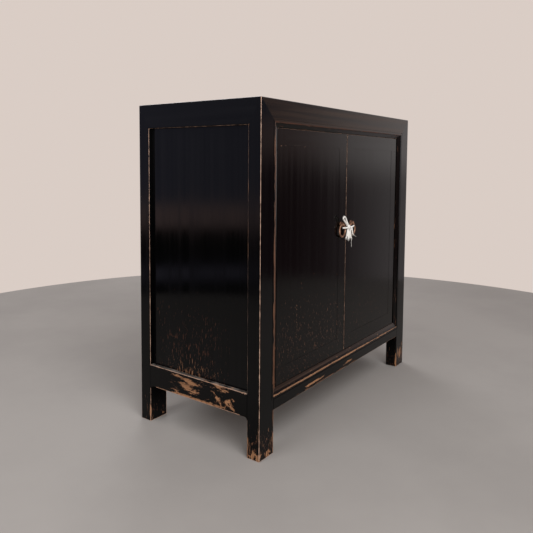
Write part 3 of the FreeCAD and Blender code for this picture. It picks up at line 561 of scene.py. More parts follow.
def side_looks(side):
    """Look of the rails, the panel, the back post and the jamb lining of one side, by piece."""
    top_low, top_high = box_of(side + "_top_rail")
    top_high[2] += TOP_EDGE_SPARED
    low, high = box_of(side + "_side_rail")
    low[2] += SIDE_RAIL_EAR
    middle = (low[0],) + SIDE_RAIL_WORN
    rail_patches = [
        worn(middle, (THROUGH, 0.14, 0.052), RAIL_FLAKES, density=0.90, ragged=0.80),
        worn(middle + RAIL_TEETH, (THROUGH, 0.20, 0.0095), RAIL_TEETH_CHIPS, density=1.12, ragged=0.78),
        worn(middle + RAIL_END, (THROUGH, 0.085, 0.040), RAIL_END_CHIPS, density=0.88, ragged=0.72),
        worn(middle + RAIL_LEDGE, (THROUGH, 0.070, 0.016), RAIL_LEDGE_CHIPS, density=1.00, ragged=0.70)]
    rail_ends = (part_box(side + "_front_post")[1][1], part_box(side + "_back_post")[0][1])
    ears = [((low[0], end, low[2]), EAR_SPARED) for end in rail_ends]
    panel_low = box_of(side + "_side_panel")[0]
    foot = (panel_low[0], PANEL_WORN_Y, panel_low[2])
    panel_patches = [
        worn(foot, (THROUGH, 0.23, 0.115), LONG_STREAKS, density=0.62),
        worn(foot, (THROUGH, 0.28, 0.42), LONG_STREAKS, density=0.60, depth=0.52),
        worn(foot, (THROUGH, 0.24, 0.060), FIBRES, density=0.66, depth=0.55)]
    streaks = 1.10 if side == "left" else 0.50
    jamb_patch = across(side + "_jamb_lining", FINE_STREAKS, streaks, z_reach=1.6, depth=0.58)
    return {
        "back_post": post_look(side + "_back_post", line=0.0013, streaks=0.45, foot=0.56, fibres=0.53),
        "top_rail": Look("y", line=0.0011, amount=0.40, roughness=0.14, warmth=0.90, pale=0.6,
                         box=(top_low, top_high)),
        # The side rail's pale rubbed top arris and the dust on its ledge are partly painted light: they stand
        # in for light caught along the ledge.
        "side_rail": Look("y", line=0.0016, edge=2.6, amount=0.8, patches=rail_patches, roughness=0.16,
                          dust_and_top_light=0.8, pale=0.4, box=(low, high), spared=ears),
        "side_panel": Look("z", line=0.0, edge=0.0, amount=0.0, patches=panel_patches, roughness=0.07,
                           warmth=0.90, haze_and_painted_band=(0.45, 0.02, 0.36)),
        "jamb_lining": Look("z", line=0.0006, edge=0.8, amount=0.2, patches=[jamb_patch], warmth=1.2)}


def carcass_looks():
    """Look of every lacquered piece of the carcass."""
    looks = {f"{side}_{part}": look for side in SIDES for part, look in side_looks(side).items()}
    looks["left_front_post"] = post_look("left_front_post", line=0.0015, streaks=0.56, bead=1.05, rim=1.0)
    looks["right_front_post"] = post_look("right_front_post", line=0.0003, streaks=0.42, bead=0.45, foot=0.55,
                                          rim=1.0, face=0.95)
    _, front, low = box_of("front_top_rail")[0]
    line = worn((0.0, front, low + TOP_RAIL_LINE_UP), (ALL_ALONG, THROUGH_RAIL, 0.0030), FRONT_RAIL_LINE,
                density=1.05, depth=0.34)
    looks["front_top_rail"] = Look("x", line=0.0007, amount=0.35, patches=[line], warmth=1.15, pale=0.2,
                                   haze_and_painted_band=(0.5, 0.05, 0.33), dulled_and_painted_light=(0.026, 0.014, 0.008, 1))
    looks["back_top_rail"] = Look("x", line=0.0010, amount=0.45)
    looks["top_panel"] = Look("x", line=0.0, edge=0.0, amount=0.0, roughness=0.32, dust_and_top_light=0.12)
    (_, front, low), (_, _, high) = box_of("front_bottom_rail")
    patches = [
        worn((-0.16, front, high - BEAD_DOWN), (0.80, 0.008, 0.0042), FRONT_RAIL_BEAD, density=1.15),
        worn((-0.190, front, low + SCRAPES_UP), (0.110, THROUGH_RAIL, 0.0085), FRONT_RAIL_SCRAPES,
             density=1.06, ragged=0.70),
        worn((0.015, front, low + SCRAPES_UP), (0.090, THROUGH_RAIL, 0.0085), FRONT_RAIL_SCRAPES,
             density=0.96, depth=0.8, ragged=0.70),
        worn((-0.05, front, low + BOTTOM_RAIL_LINE_UP), (0.42, THROUGH_RAIL, 0.0026), FRONT_RAIL_LINE,
             density=1.0, depth=0.62)]
    looks["front_bottom_rail"] = Look("x", line=0.0018, edge=1.6, amount=0.62, patches=patches, warmth=1.15,
                                      pale=0.15)
    looks["back_bottom_rail"] = Look("x", line=0.0012, edge=1.4, amount=0.6)
    looks["head_lining"] = Look("x", line=0.0006, edge=0.7, amount=0.3, warmth=1.1, patches=[
        across("head_lining", HEAD_STREAKS, density=0.62, z_reach=0.05, depth=0.42)])
    # Painted light and shade on the sill lining: it stays black in a narrow band 150 mm high, as painted
    # shade, and turns light brown away from that band, as painted light.
    looks["sill_lining"] = Look("x", line=0.0008, edge=1.3, amount=0.5, warmth=1.25, patches=[
        across("sill_lining", SILL_CHIPS, density=0.46, z_reach=0.05)],
        haze_and_painted_band=(0.150, 0.004, 0.009), dulled_and_painted_light=(0.050, 0.031, 0.021, 1))
    looks["back_boards"] = Look("z", line=0.0006, edge=0.8, amount=0.3, roughness=0.5)
    return looks


def door_looks():
    """Look of every lacquered piece of the doors: a line round the whole door, fibres that show through, a
    scuffed row along the upper joint and a row of dots on the left panel."""
    looks = {}
    for side in SIDES:
        low, high = box_of(side + "_meeting_stile")
        hinge_low, hinge_high = box_of(side + "_hinge_stile")
        low[0], high[0] = min(low[0], hinge_low[0]), max(high[0], hinge_high[0])
        fibres = 0.53 if side == "left" else 0.44
        patches = [
            worn((0.0, low[1], high[2] - DOOR_JOINT_DOWN), (ALL_ALONG, THROUGH, 0.006), JOINT_SCUFFS,
                 density=0.50, depth=0.6),
            worn((0.0, low[1], low[2]), (ALL_ALONG, THROUGH, 0.50), FIBRES, fibres, depth=0.6)]
        if side == "left":
            patches.append(worn(DOT_ROW, (0.004, THROUGH, 0.16), SPECKS, density=0.66, depth=0.8))
        for part, grain in (("hinge_stile", "z"), ("meeting_stile", "z"), ("door_top_rail", "x"),
                            ("door_bottom_rail", "x"), ("door_panel", "z")):
            looks[f"{side}_{part}"] = Look(
                grain, line=0.0008, edge=0.7, amount=0.25, patches=patches, roughness=0.13, warmth=1.15,
                pale=0.5, haze_and_painted_band=(0.50, 0.05, 0.33), box=(low - FOOT_SPARED, high + HEAD_SPARED))
    return looks


# Other finishes

INSIDE_EDGES = {"Width": 0.004, "Amount": 0.6, "Line": 0.001}
INSIDE_EDGE_BROWN = (0.06, 0.035, 0.02, 1)
INSIDE_DUST = (0.30, 0.27, 0.23, 1)
RUST = (0.22, 0.075, 0.03, 1)
SOIL = (0.55, 0.50, 0.46, 1)
PAINTED_HOLLOW_SHADE = 0.82
COTTON_SHEEN = 0.3


def bare_wood_material(settings, name, low, high, axis):
    """Unfinished wood: streaks between two browns along an axis, darkened at the edges of a box."""
    material, g, shader = new_material("bare wood " + name)
    dark = tuple(settings.dark)
    grain = g.group("grain", Stretch=GRAIN_ALONG[axis])
    edges = g.group("edge", Low=tuple(low), High=tuple(high), **INSIDE_EDGES)["Mask"]
    dust_and_top_light = g.group("dust_and_top_light", Amount=0.5)["Mask"]
    colour = g.blend(g.fade(grain["Fine"], 0.30, 0.65), dark, tuple(settings.pale))
    colour = g.blend(g.calc("MULTIPLY", g.fade(grain["Broad"], 0.35, 0.7), 0.45), colour, dark)
    colour = g.blend(g.calc("MULTIPLY", edges, 0.35), colour, INSIDE_EDGE_BROWN)
    colour = g.blend(g.calc("MULTIPLY", dust_and_top_light, 0.4), colour, INSIDE_DUST)
    g.feed(shader["Base Color"], colour)
    g.feed(shader["Roughness"], g.calc("ADD", 0.62, g.calc("MULTIPLY", grain["Broad"], 0.25)))
    g.bump(shader, grain["Fine"], strength=0.4, distance=0.0005)
    return material


def pull_metal_material(settings):
    """Brown patina over copper-coloured metal, rubbed bright in patches, with small pits."""
    material, g, shader = new_material("patinated pull metal")
    place = g.place()
    rubbed = g.fade(g.noise(place, 160.0, detail=4.0, rough=0.6), 0.44, 0.66)
    rust = g.fade(g.noise(place, 420.0, detail=3.0, rough=0.7), 0.56, 0.68)
    colour = g.blend(rubbed, tuple(settings.patina), tuple(settings.copper))
    colour = g.blend(g.calc("MULTIPLY", rust, 0.6), colour, RUST)
    g.feed(shader["Base Color"], colour)
    g.feed(shader["Metallic"], g.calc("SUBTRACT", 0.65, g.calc("MULTIPLY", rust, 0.4)))
    g.feed(shader["Roughness"], g.calc("SUBTRACT", 0.60, g.calc("MULTIPLY", rubbed, 0.25)))
    pits = g.calc("SUBTRACT", g.noise(place, 700.0, detail=4.0, rough=0.6), rust)
    g.bump(shader, pits, strength=0.3, distance=0.0003)
    return material


def cotton_material(settings):
    """Matt cotton: pale threads with painted shade in the hollows between them, and a little soiling."""
    material, g, shader = new_material("cotton")
    place = g.place()
    threads = g.noise(place, 2600.0, detail=2.0, rough=0.6)
    soil = g.fade(g.noise(place, 75.0, detail=4.0, rough=0.6), 0.40, 0.75)
    cotton = tuple(settings.cotton)
    # Painted shade: where the thread noise is low, and the bump lowers the surface, the cotton is darker.
    colour = g.blend(g.fade(threads, 0.35, 0.6), shaded(cotton, PAINTED_HOLLOW_SHADE), cotton)
    colour = g.blend(g.calc("MULTIPLY", soil, 0.18), colour, SOIL)
    g.feed(shader["Base Color"], colour)
    g.feed(shader["Roughness"], g.calc("ADD", 0.80, g.calc("MULTIPLY", threads, 0.15)))
    shader["Sheen Weight"].default_value = COTTON_SHEEN
    g.bump(shader, threads, strength=0.5, distance=0.0003)
    return material


# Surfaces of the tie and of the strips over the back's joints

CORD_SIDES = 30
STRAND_SWELL = 0.20
ROUTE_STEPS = 14
END_LENGTH = 1.2
END_LEAST = 0.05
KNOT_POINTS = 150
KNOT_FLAT = 1.45 * MILLIMETRE
KNOT_DEEP = 2.1 * MILLIMETRE
HITCH_POINTS = 60
HITCH_PLAY = 0.1 * MILLIMETRE

# Loose threads: those of a frayed end, and those that fan out between two tails
THREAD_RADIUS = 0.0005
THREAD_STRANDS = 2
THREAD_PITCH = 0.004
THREAD_SIDES = 7
FRAYED_THREADS = 13
FRAYED_POINTS = 9
FRAYED_RADII = (0.00045, 0.00025)
FRAYED_AIM = 6
FAN_POINTS = 24
FAN_START = 5
FAN_ENDS = (20, 24)
FAN_SHARES = np.linspace(0.12, 0.80, 7)

# Shares of a cord's radius: how far back a frayed end starts, the limits of its threads, and a fan's threads
FRAYED_BACK = 2.2
FRAYED_LENGTHS = (2.2, 4.4)
FRAYED_BENDS = (0.1, 1.3)
FRAYED_ROOTS = (0.3, 0.8)
FAN_RADIUS = 0.32

# Strips
BACK_BOARDS = 4
BACK_BAR_HEIGHT = 0.030
STRIP_WIDTH = 0.014
STRIP_THICKNESS = 0.0018
STRIP_PLAY = 0.00006
STRIP_POINTS_ROUND = 11
STRIP_POINTS_UP = 9


def whole_turn(count):
    """Angles that divide a whole turn."""
    return np.linspace(0, 2 * np.pi, count, endpoint=False)


def unit(vectors):
    """Vectors, or one vector, at length 1."""
    return vectors / np.linalg.norm(vectors, axis=-1, keepdims=True)


def lengths_along(line):
    """Distance along a row of points, from its start to each of them."""
    return np.concatenate([[0.0], np.cumsum(np.linalg.norm(np.diff(line, axis=0), axis=1))])


def path_length(line):
    """Length along a row of points."""
    return float(np.linalg.norm(np.diff(line, axis=0), axis=1).sum())


def tube_object(name, grids, material, closed=False):
    """Mesh over one or more grids of points (places along a cord, places round it). Each grid closes round
    its cord, and either joins its own start or ends in a point at the middle of each end ring."""
    vertices, faces = [], []
    for points in grids:
        rows, cols = points.shape[:2]
        index = sum(map(len, vertices)) + np.arange(rows * cols).reshape(rows, cols)
        start = index if closed else index[:-1]
        end = np.roll(index, -1, axis=0) if closed else index[1:]
        quads = np.stack([start, np.roll(start, -1, axis=1), np.roll(end, -1, axis=1), end], axis=-1)
        faces += quads.reshape(-1, 4).tolist()
        vertices.append(points.reshape(-1, 3))
        if not closed:
            first, last = np.full(cols, index[-1, -1] + 1), np.full(cols, index[-1, -1] + 2)
            faces += np.stack([first, np.roll(index[0], -1), index[0]], axis=-1).tolist()
            faces += np.stack([last, index[-1], np.roll(index[-1], -1)], axis=-1).tolist()
            vertices.append(np.stack([points[0].mean(axis=0), points[-1].mean(axis=0)]))
    mesh = bpy.data.meshes.new(name)
    mesh.from_pydata(np.concatenate(vertices).tolist(), [], faces)
    mesh.polygons.foreach_set("use_smooth", np.ones(len(mesh.polygons), bool))
    mesh.materials.append(material)
    mesh.update()
    made = bpy.data.objects.new(name, mesh)
    bpy.context.scene.collection.objects.link(made)
    return made


def twisted_cord(centres, radius, strands, pitch, closed=False, level=(0.0, 1.0, 0.0), sides=CORD_SIDES):
    """Grid of a twisted cord: round each centre lies a ring whose radius swells once per strand, and the
    swellings turn once in every pitch of length. radius may change along the cord, and level is a direction
    that the cord never runs in."""
    if closed:
        step = np.roll(centres, -1, axis=0) - np.roll(centres, 1, axis=0)
    else:
        step = np.gradient(centres, axis=0)
    along = unit(step)
    out = unit(np.cross(along, level))
    side = np.cross(out, along)
    length = lengths_along(centres)
    turns = max(1, round(length[-1] / pitch)) / length[-1] if closed else 1 / pitch
    angle = whole_turn(sides)[None, :]
    swell = np.abs(np.cos(strands * (angle - 2 * np.pi * turns * length[:, None]) / 2))
    ring = np.broadcast_to(radius, len(centres))[:, None] * (1 - STRAND_SWELL + STRAND_SWELL * swell)
    round_it = np.cos(angle)[..., None] * out[:, None] + np.sin(angle)[..., None] * side[:, None]
    return centres[:, None] + ring[..., None] * round_it


def thread(line, radius):
    """Grid of a thin thread: a twisted cord with few sides."""
    return twisted_cord(line, radius, THREAD_STRANDS, THREAD_PITCH, sides=THREAD_SIDES)


def route_line(route, origin):
    """Points of the smooth spline whose control points are the route, given in millimetres from an origin."""
    points = np.array(route) * MILLIMETRE + origin
    curve = bpy.data.curves.new("route", "CURVE")
    curve.dimensions = "3D"
    curve.resolution_u = ROUTE_STEPS
    spline = curve.splines.new("NURBS")
    spline.points.add(len(points) - 1)
    spline.points.foreach_set("co", np.column_stack([points, np.ones(len(points))]).ravel())
    spline.order_u = 3
    spline.use_endpoint_u = True
    carrier = bpy.data.objects.new("route", curve)
    mesh = bpy.data.meshes.new_from_object(carrier)
    line = np.empty(len(mesh.vertices) * 3)
    mesh.vertices.foreach_get("co", line)
    bpy.data.objects.remove(carrier)
    bpy.data.curves.remove(curve)
    bpy.data.meshes.remove(mesh)
    return line.reshape(-1, 3)


def rounded_end(line, radius):
    """Radius along a cord that closes in a quarter of an ellipse at the free end."""
    left = path_length(line) - lengths_along(line)
    share = np.clip(1 - left / (END_LENGTH * radius), 0, 1)
    return radius * np.sqrt(np.clip(1 - share ** 2, END_LEAST, 1))


def knot_line(middle):
    """Closed line of a three-crossing knot: a circle that goes round twice while its radius and its depth
    go three times in and out."""
    t = whole_turn(KNOT_POINTS)
    return middle + np.stack([KNOT_FLAT * (np.sin(t) + 2 * np.sin(2 * t)), KNOT_DEEP * np.sin(3 * t),
                              KNOT_FLAT * (np.cos(t) - 2 * np.cos(2 * t))], axis=1)


def hitch_line(side, radius):
    """Closed circle round the ring's wire, square to the wire."""
    t = whole_turn(HITCH_POINTS)[:, None]
    circle = np.cos(t) * spoke(side) + np.sin(t) * np.array([0.0, 1.0, 0.0])
    return RING_MIDDLE[side] + spoke(side) * RING_RADIUS + radius * circle


def frayed_end(line, radius, seed):
    """Grids of the loose threads at a cord's end: each leaves the last stretch of the cord and bends away
    from it by an amount that grows with the square of the way along the thread."""
    chance = np.random.default_rng(seed)
    ahead = unit(line[-1] - line[-FRAYED_AIM])
    out = unit(np.cross(ahead, (0.0, 1.0, 0.0)))
    side = np.cross(out, ahead)
    start = line[-1] - ahead * radius * FRAYED_BACK
    t = np.linspace(0, 1, FRAYED_POINTS)[:, None]
    grids = []
    for turn in whole_turn(FRAYED_THREADS):
        away = np.cos(turn) * out + np.sin(turn) * side
        length = radius * chance.uniform(*FRAYED_LENGTHS)
        bend = radius * chance.uniform(*FRAYED_BENDS)
        root = start + away * radius * chance.uniform(*FRAYED_ROOTS)
        grids.append(thread(root + ahead * length * t + away * bend * t ** 2,
                            np.linspace(*FRAYED_RADII, FRAYED_POINTS)))
    return grids


def threads_between(first, second, radius, seed):
    """Grids of threads that fan out between two tails: each lies a share of the way from one tail to the
    other, starts below the knot and breaks off near the tails' ends."""
    chance = np.random.default_rng(seed)
    first, second = (line[np.linspace(0, len(line) - 1, FAN_POINTS).astype(int)] for line in (first, second))
    grids = []
    for share in FAN_SHARES:
        between = first + (second - first) * share
        grids.append(thread(between[FAN_START:chance.integers(*FAN_ENDS)], radius * FAN_RADIUS))
    return grids


def cover_strip(x, low, high):
    """Grid of a strip that runs up the inside of the back. Its profile is half an ellipse whose flat side
    lies on the boards."""
    t = np.linspace(0, np.pi, STRIP_POINTS_ROUND)
    z = np.linspace(low + STRIP_PLAY, high - STRIP_PLAY, STRIP_POINTS_UP)
    grid = np.empty((len(z), len(t), 3))
    grid[..., 0] = x + STRIP_WIDTH / 2 * np.cos(t)
    grid[..., 1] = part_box("back_boards")[0][1] - STRIP_PLAY - STRIP_THICKNESS * np.sin(t)
    grid[..., 2] = z[:, None]
    return grid


# Steps

class CABINET_OT_tie_knots(bpy.types.Operator):
    """Knots in front of the rings and hitches round their wire"""

    bl_idname = "cabinet.tie_knots"
    bl_label = "Tie knots and hitches"

    def execute(self, context):
        tie = context.scene.cabinet_tie
        material = cotton_material(tie)
        wrap = RING_WIRE_RADIUS + HITCH_PLAY + tie.hitch_diameter / 2
        for side in SIDES:
            knot = twisted_cord(knot_line(knot_middle(side)), tie.diameter / 2, tie.strands, tie.pitch, True)
            knot = tube_object(side + "_knot", [knot], material, True)
            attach(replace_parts(knot, side + "_tie_knot"), side + "_ring")
            hitch = twisted_cord(hitch_line(side, wrap), tie.hitch_diameter / 2, tie.strands, tie.pitch, True,
                                 tuple(np.cross(spoke(side), (0.0, 1.0, 0.0))))
            hitch = tube_object(side + "_hitch", [hitch], material, True)
            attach(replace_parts(hitch, side + "_tie_hitch"), side + "_ring")
        return {"FINISHED"}


class CABINET_OT_tie_cords(bpy.types.Operator):
    """Arms, loop, tails and loose threads of the cotton tie"""

    bl_idname = "cabinet.tie_cords"
    bl_label = "Tie cords"

    def execute(self, context):
        tie = context.scene.cabinet_tie
        material = bpy.data.materials["cotton"]
        left, right = knot_middle("left"), knot_middle("right")
        self.tube(tie, material, "right_arm", RIGHT_ARM, right, "right_tie_arm")
        long_tail, short_tail = route_line(LEFT_LONG_TAIL, left), route_line(LEFT_SHORT_TAIL, left)
        fan = threads_between(long_tail, short_tail, tie.diameter / 2, seed=3)
        fan += threads_between(short_tail, route_line(RIGHT_TAIL, right), tie.diameter / 2, seed=4)
        self.threads(tie, material, "left_threads", left, [LEFT_LONG_TAIL, LEFT_SHORT_TAIL], [], fan)
        self.threads(tie, material, "right_threads", right, [RIGHT_STUB, RIGHT_TAIL],
                     [STUB_THREAD, TAIL_THREAD])
        self.cord(tie, material, "left_cord", LEFT_ARM[::-1] + LEFT_LONG_TAIL, left,
                  "left_tie_arm", "left_tie_long_tail", pieces=("left_knot", "left_hitch", "left_threads"))
        loop = self.cord(tie, material, "left_loop", LEFT_LOOP, left, "left_tie_loop", far_end="knot")
        self.cord(tie, material, "left_short_tail", LEFT_SHORT_TAIL, left, "left_tie_short_tail")
        self.cord(tie, material, "right_cord", RIGHT_STUB[::-1] + RIGHT_TAIL, right,
                  "right_tie_stub", "right_tie_tail",
                  pieces=("right_knot", "right_hitch", "right_arm", "right_threads"))
        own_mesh(loop)
        return {"FINISHED"}

    def tube(self, tie, material, name, route, origin, *nodes, far_end="bare"):
        """Twisted cord along its route, rounded off at a bare end."""
        line = route_line(route, origin)
        radius = tie.diameter / 2
        if far_end == "bare":
            radius = rounded_end(line, radius)
        made = tube_object(name, [twisted_cord(line, radius, tie.strands, tie.pitch)], material)
        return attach(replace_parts(made, *nodes), name.split("_")[0] + "_ring"), line

    def cord(self, tie, material, name, route, origin, *nodes, far_end="bare", pieces=()):
        """Tube along its route, rounded off at a bare end. pieces, the parts that belong to it, is not used.
        """
        made, line = self.tube(tie, material, name, route, origin, *nodes, far_end=far_end)
        return made

    def threads(self, tie, material, name, origin, frayed, loose, fan=()):
        """Loose threads at the ends of some routes, along others and in a fan, as one piece."""
        grids = list(fan)
        for seed, route in enumerate(frayed):
            grids += frayed_end(route_line(route, origin), tie.diameter / 2, seed)
        for route in loose:
            grids.append(thread(route_line(route, origin), THREAD_RADIUS))
        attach(tube_object(name, grids, material), name.split("_")[0] + "_ring")


class CABINET_OT_carcass(bpy.types.Operator):
    """Lacquer on the frame and panels of the carcass"""

    bl_idname = "cabinet.carcass"
    bl_label = "Carcass lacquer"

    def execute(self, context):
        for node, look in carcass_looks().items():
            dress(node, lacquer_material(context.scene.cabinet_lacquer, node, look))
        return {"FINISHED"}


class CABINET_OT_doors(bpy.types.Operator):
    """Lacquer on the frames and panels of both doors"""

    bl_idname = "cabinet.doors"
    bl_label = "Door lacquer"

    def execute(self, context):
        for node, look in door_looks().items():
            dress(node, lacquer_material(context.scene.cabinet_lacquer, node, look))
        return {"FINISHED"}


class CABINET_OT_inside(bpy.types.Operator):
    """Bare wood of the shelf, the floor and the bars behind the panels"""

    bl_idname = "cabinet.inside"
    bl_label = "Bare wood"

    def execute(self, context):
        grain_of = {"top_battens": "y", "back_battens": "x", "floor_battens": "y", "floor_board": "x",
                    "shelf": "x"}
        for side in SIDES:
            grain_of[side + "_side_battens"] = "y"
            grain_of[side + "_shelf_bearer"] = "y"
            grain_of[side + "_door_battens"] = "x"
        for node, axis in grain_of.items():
            dress(node, bare_wood_material(context.scene.cabinet_inside, node, *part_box(node), axis))
        return {"FINISHED"}


class CABINET_OT_cover_strips(bpy.types.Operator):
    """Thin wooden strips over the joints of the back boards, inside the cabinet"""

    bl_idname = "cabinet.cover_strips"
    bl_label = "Cover strips"

    def execute(self, context):
        bars_low, bars_high = (corner[2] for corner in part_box("back_battens"))
        runs = ((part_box("floor_board")[1][2], bars_low),
                (bars_low + BACK_BAR_HEIGHT, bars_high - BACK_BAR_HEIGHT),
                (bars_high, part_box("back_top_rail")[0][2]))
        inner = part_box("left_back_post")[1][0]
        joints = np.linspace(inner, -inner, BACK_BOARDS + 1)[1:-1]
        wood = bare_wood_material(context.scene.cabinet_inside, "cover strips", *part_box("back_boards"), "z")
        grids = [cover_strip(x, low, high) for x in joints for low, high in runs]
        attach(tube_object("back_cover_strips", grids, wood), "carcass")
        return {"FINISHED"}


class CABINET_OT_pulls(bpy.types.Operator):
    """Patinated metal of the rings, staples and plates"""

    bl_idname = "cabinet.pulls"
    bl_label = "Ring pulls"

    def execute(self, context):
        material = pull_metal_material(context.scene.cabinet_pulls)
        for side in SIDES:
            for part in ("pull_ring", "pull_staple", "pull_plate"):
                dress(f"{side}_{part}", material)
        return {"FINISHED"}


# Stage

CAMERA_PLACE = (-1.5609, -1.0238, 0.7431)
CAMERA_YAW = np.radians(54.08)
CAMERA_PITCH = np.radians(4.16)
CAMERA_ROLL = np.radians(0.39)
CAMERA_FOCAL_PIXELS = 574.28
CAMERA_CENTRE_PIXELS = (264.0, 204.3)
IMAGE_PIXELS = 533
SENSOR_WIDTH = 36.0
FLOOR_RADIUS = 2.05
FLOOR_POINTS = 180
FLOOR_CLOUD_LIGHT = 0.90
FLOOR_ROUGHNESS = 0.85

# Each lamp's name, its place, the point that it looks at, its size and its share of the key light's power
LAMPS = (("key lamp", (-1.6, -2.6, 3.4), (0.0, 0.0, 0.4), 2.6, 1.0),
         ("front lamp", (-1.9, -2.6, 0.9), (0.0, 0.0, 0.5), 1.6, 0.45),
         ("side lamp", (-3.4, 0.6, 2.2), (-0.2, 0.0, 0.5), 2.0, 0.5),
         ("back lamp", (2.0, 2.6, 2.8), (0.0, 0.0, 0.5), 2.0, 0.5))

# Colours of the mirrored room to the front, then to the side
ROOM_BROWN = (0.56, 0.38, 0.36, 1)
ROOM_UPPER = (0.20, 0.20, 0.27, 1)
ROOM_PALE = (1.08, 1.00, 0.98, 1)
ROOM_SHADED = (0.53, 0.48, 0.48, 1)
ROOM_DIM = (0.090, 0.048, 0.060, 1)
ROOM_COOL = (0.38, 0.38, 0.52, 1)
ROOM_WARM = (1.12, 0.78, 0.75, 1)
ROOM_STRIP = (0.40, 0.38, 0.51, 1)
ROOM_BLACK = (0.01, 0.01, 0.01, 1)

# Where one colour of the room goes over into the next, by the height of a direction
EYE_LEVEL = (-0.018, 0.042)
EYE_LEVEL_DROP = 0.024
UPPER_LEVEL = (0.066, 0.088)
COOL_LEVEL = (-0.085, -0.06)
BLACK_LEVEL = (-0.120, -0.106)
STRIP_FOOT_LEVEL = (-0.206, -0.196)
STRIP_HEAD_LEVEL = (-0.174, -0.184)

# The same by its bearing, which goes from -1 at the left to 1 at the right
FRONT_BEARING = (-0.1, 0.3)
PALE_BEARING = (0.840, 0.900)
SHADED_BEARING = (0.865, 0.932)


def facing(place, ahead, up):
    """Matrix of a lamp or camera at a place that looks ahead, with its top towards up."""
    back = -unit(np.array(ahead))
    right = unit(np.cross(up, back))
    turned = np.eye(4)
    turned[:3, :4] = np.column_stack([right, np.cross(back, right), back, place])
    return Matrix(turned.tolist())


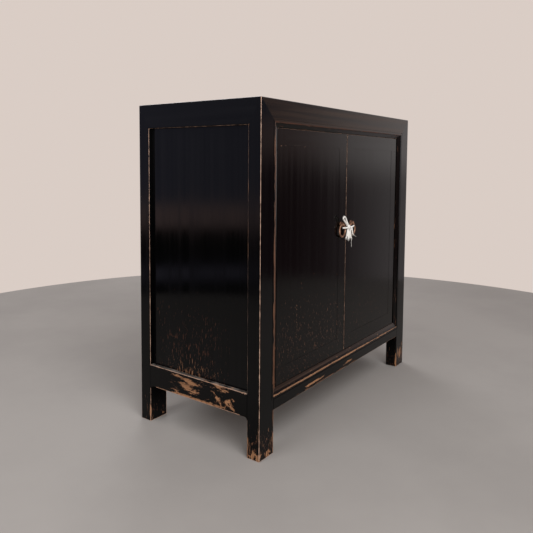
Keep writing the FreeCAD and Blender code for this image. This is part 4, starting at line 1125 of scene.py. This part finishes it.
class CABINET_OT_stage(bpy.types.Operator):
    """Floor, backdrop, lamps and camera"""

    bl_idname = "cabinet.stage"
    bl_label = "Stage"

    def execute(self, context):
        stage = context.scene.cabinet_stage
        self.floor(stage)
        self.world(context.scene, stage)
        for name, place, aim, size, share in LAMPS:
            self.lamp(name, place, aim, size, stage.key_power * share)
        self.camera(context.scene)
        context.scene.view_settings.view_transform = "Standard"
        return {"FINISHED"}

    def floor(self, stage):
        """Flat round floor with a faint cloudy tone."""
        material, g, shader = new_material("studio floor")
        cloud = g.noise(g.place(), 1.3, detail=5.0, rough=0.6)
        pale = tuple(stage.floor)
        grey = shaded(pale, FLOOR_CLOUD_LIGHT)
        g.feed(shader["Base Color"], g.blend(g.fade(cloud, 0.35, 0.65), grey, pale))
        shader["Roughness"].default_value = FLOOR_ROUGHNESS
        turn = whole_turn(FLOOR_POINTS)
        rim = FLOOR_RADIUS * np.column_stack([np.cos(turn), np.sin(turn), np.zeros(len(turn))])
        mesh = bpy.data.meshes.new("studio_floor")
        mesh.from_pydata(rim.tolist(), [], [tuple(range(len(rim)))])
        mesh.materials.append(material)
        made = bpy.data.objects.new("studio_floor", mesh)
        bpy.context.scene.collection.objects.link(made)

    def world(self, scene, stage):
        """Backdrop for the eye, an even fill for the lighting and the mirrored room for gloss."""
        world = bpy.data.worlds.new("studio")
        world.use_nodes = True
        world.node_tree.nodes.clear()
        g = Graph(world.node_tree)
        rays = g.add("ShaderNodeLightPath").outputs
        glossy = rays["Is Glossy Ray"]
        seen = g.calc("MAXIMUM", rays["Is Camera Ray"], rays["Is Transmission Ray"])
        strength = g.calc("MULTIPLY_ADD", seen, 1.0 - stage.fill, stage.fill)
        strength = g.calc("MULTIPLY_ADD", glossy, stage.mirrored - stage.fill, strength)
        room = self.mirrored_room(g, g.add("ShaderNodeTexCoord").outputs["Generated"])
        colour = g.blend(glossy, tuple(stage.backdrop), room)
        light = g.add("ShaderNodeBackground", {"Color": colour, "Strength": strength})
        g.tree.links.new(light.outputs[0], g.add("ShaderNodeOutputWorld").inputs["Surface"])
        scene.world = world

    def mirrored_room(self, g, direction):
        """Colour of the room that the gloss mirrors. To the front it is brown, dim and cool higher up, and
        pale at the far right. Below the level of the eyes it is darker, but less so at the right. To the side
        it is cool above a warm band, and black below it with a dim strip."""
        x, y, z = g.split(direction)
        level = g.calc("SQRT", g.calc("MULTIPLY_ADD", x, x, g.calc("MULTIPLY", y, y)))
        bearing = g.calc("DIVIDE", x, level)
        right = g.fade(bearing, *PALE_BEARING)
        below = g.blend(g.fade(bearing, *SHADED_BEARING), ROOM_DIM, ROOM_SHADED)
        left = g.blend(g.fade(z, *UPPER_LEVEL), ROOM_BROWN, ROOM_UPPER)
        above = g.blend(right, left, ROOM_PALE)
        height = g.calc("MULTIPLY_ADD", right, EYE_LEVEL_DROP, z)
        front = g.blend(g.fade(height, *EYE_LEVEL), below, above)
        bright = g.blend(g.fade(z, *COOL_LEVEL), ROOM_WARM, ROOM_COOL)
        strip = g.calc("MULTIPLY", g.fade(z, *STRIP_FOOT_LEVEL), g.fade(z, *STRIP_HEAD_LEVEL))
        dark = g.blend(strip, ROOM_BLACK, ROOM_STRIP)
        side = g.blend(g.fade(z, *BLACK_LEVEL), dark, bright)
        return g.blend(g.fade(bearing, *FRONT_BEARING), side, front)

    def lamp(self, name, place, aim, size, power):
        """Soft round lamp that looks at a point."""
        data = bpy.data.lights.new(name, "AREA")
        data.shape = "DISK"
        data.size = size
        data.energy = power
        made = bpy.data.objects.new(name, data)
        made.matrix_world = facing(place, np.array(aim) - np.array(place), (0, 0, 1))
        bpy.context.scene.collection.objects.link(made)

    def camera(self, scene):
        """Camera at the photograph's viewing angle. Its lens and shift come from a focal length and an image
        centre in pixels."""
        cos, sin = np.cos, np.sin
        ahead = np.array([sin(CAMERA_YAW) * cos(CAMERA_PITCH), cos(CAMERA_YAW) * cos(CAMERA_PITCH),
                          -sin(CAMERA_PITCH)])
        right = np.array([cos(CAMERA_YAW), -sin(CAMERA_YAW), 0.0])
        up = np.cross(right, ahead)
        data = bpy.data.cameras.new("camera")
        data.sensor_width = SENSOR_WIDTH
        data.lens = CAMERA_FOCAL_PIXELS * SENSOR_WIDTH / IMAGE_PIXELS
        data.shift_x = (IMAGE_PIXELS / 2 - CAMERA_CENTRE_PIXELS[0]) / IMAGE_PIXELS
        data.shift_y = (CAMERA_CENTRE_PIXELS[1] - IMAGE_PIXELS / 2) / IMAGE_PIXELS
        made = bpy.data.objects.new("camera", data)
        made.matrix_world = facing(CAMERA_PLACE, ahead, cos(CAMERA_ROLL) * up - sin(CAMERA_ROLL) * right)
        scene.collection.objects.link(made)
        scene.camera = made


class CABINET_PT_panel(bpy.types.Panel):
    """Steps that dress the cabinet"""

    bl_idname = "CABINET_PT_panel"
    bl_label = "Cabinet"
    bl_space_type = "VIEW_3D"
    bl_region_type = "UI"
    bl_category = "Cabinet"

    def draw(self, context):
        for step in STEPS:
            self.layout.operator(step.bl_idname)
        for name, kind in SETTINGS.items():
            for key in kind.__annotations__:
                self.layout.prop(getattr(context.scene, name), key)


STEPS = (CABINET_OT_stage, CABINET_OT_tie_knots, CABINET_OT_tie_cords, CABINET_OT_carcass, CABINET_OT_doors,
         CABINET_OT_inside, CABINET_OT_cover_strips, CABINET_OT_pulls)
SETTINGS = {"cabinet_lacquer": CabinetLacquer, "cabinet_inside": CabinetInside, "cabinet_pulls": CabinetPulls,
            "cabinet_tie": CabinetTie, "cabinet_stage": CabinetStage}


def register():
    """Makes the settings, the steps and the panel known to Blender."""
    for kind in tuple(SETTINGS.values()) + STEPS + (CABINET_PT_panel,):
        bpy.utils.register_class(kind)
    for name, kind in SETTINGS.items():
        setattr(bpy.types.Scene, name, PointerProperty(type=kind))


def unregister():
    """Takes back what register did."""
    for name in SETTINGS:
        delattr(bpy.types.Scene, name)
    for kind in (CABINET_PT_panel,) + STEPS[::-1] + tuple(SETTINGS.values())[::-1]:
        bpy.utils.unregister_class(kind)


def main():
    """Runs the steps in order."""
    register()
    bpy.ops.cabinet.stage()
    bpy.ops.cabinet.tie_knots()
    bpy.ops.cabinet.tie_cords()
    bpy.ops.cabinet.carcass()
    bpy.ops.cabinet.doors()
    bpy.ops.cabinet.inside()
    bpy.ops.cabinet.cover_strips()
    bpy.ops.cabinet.pulls()


if __name__ == "__main__":
    main()
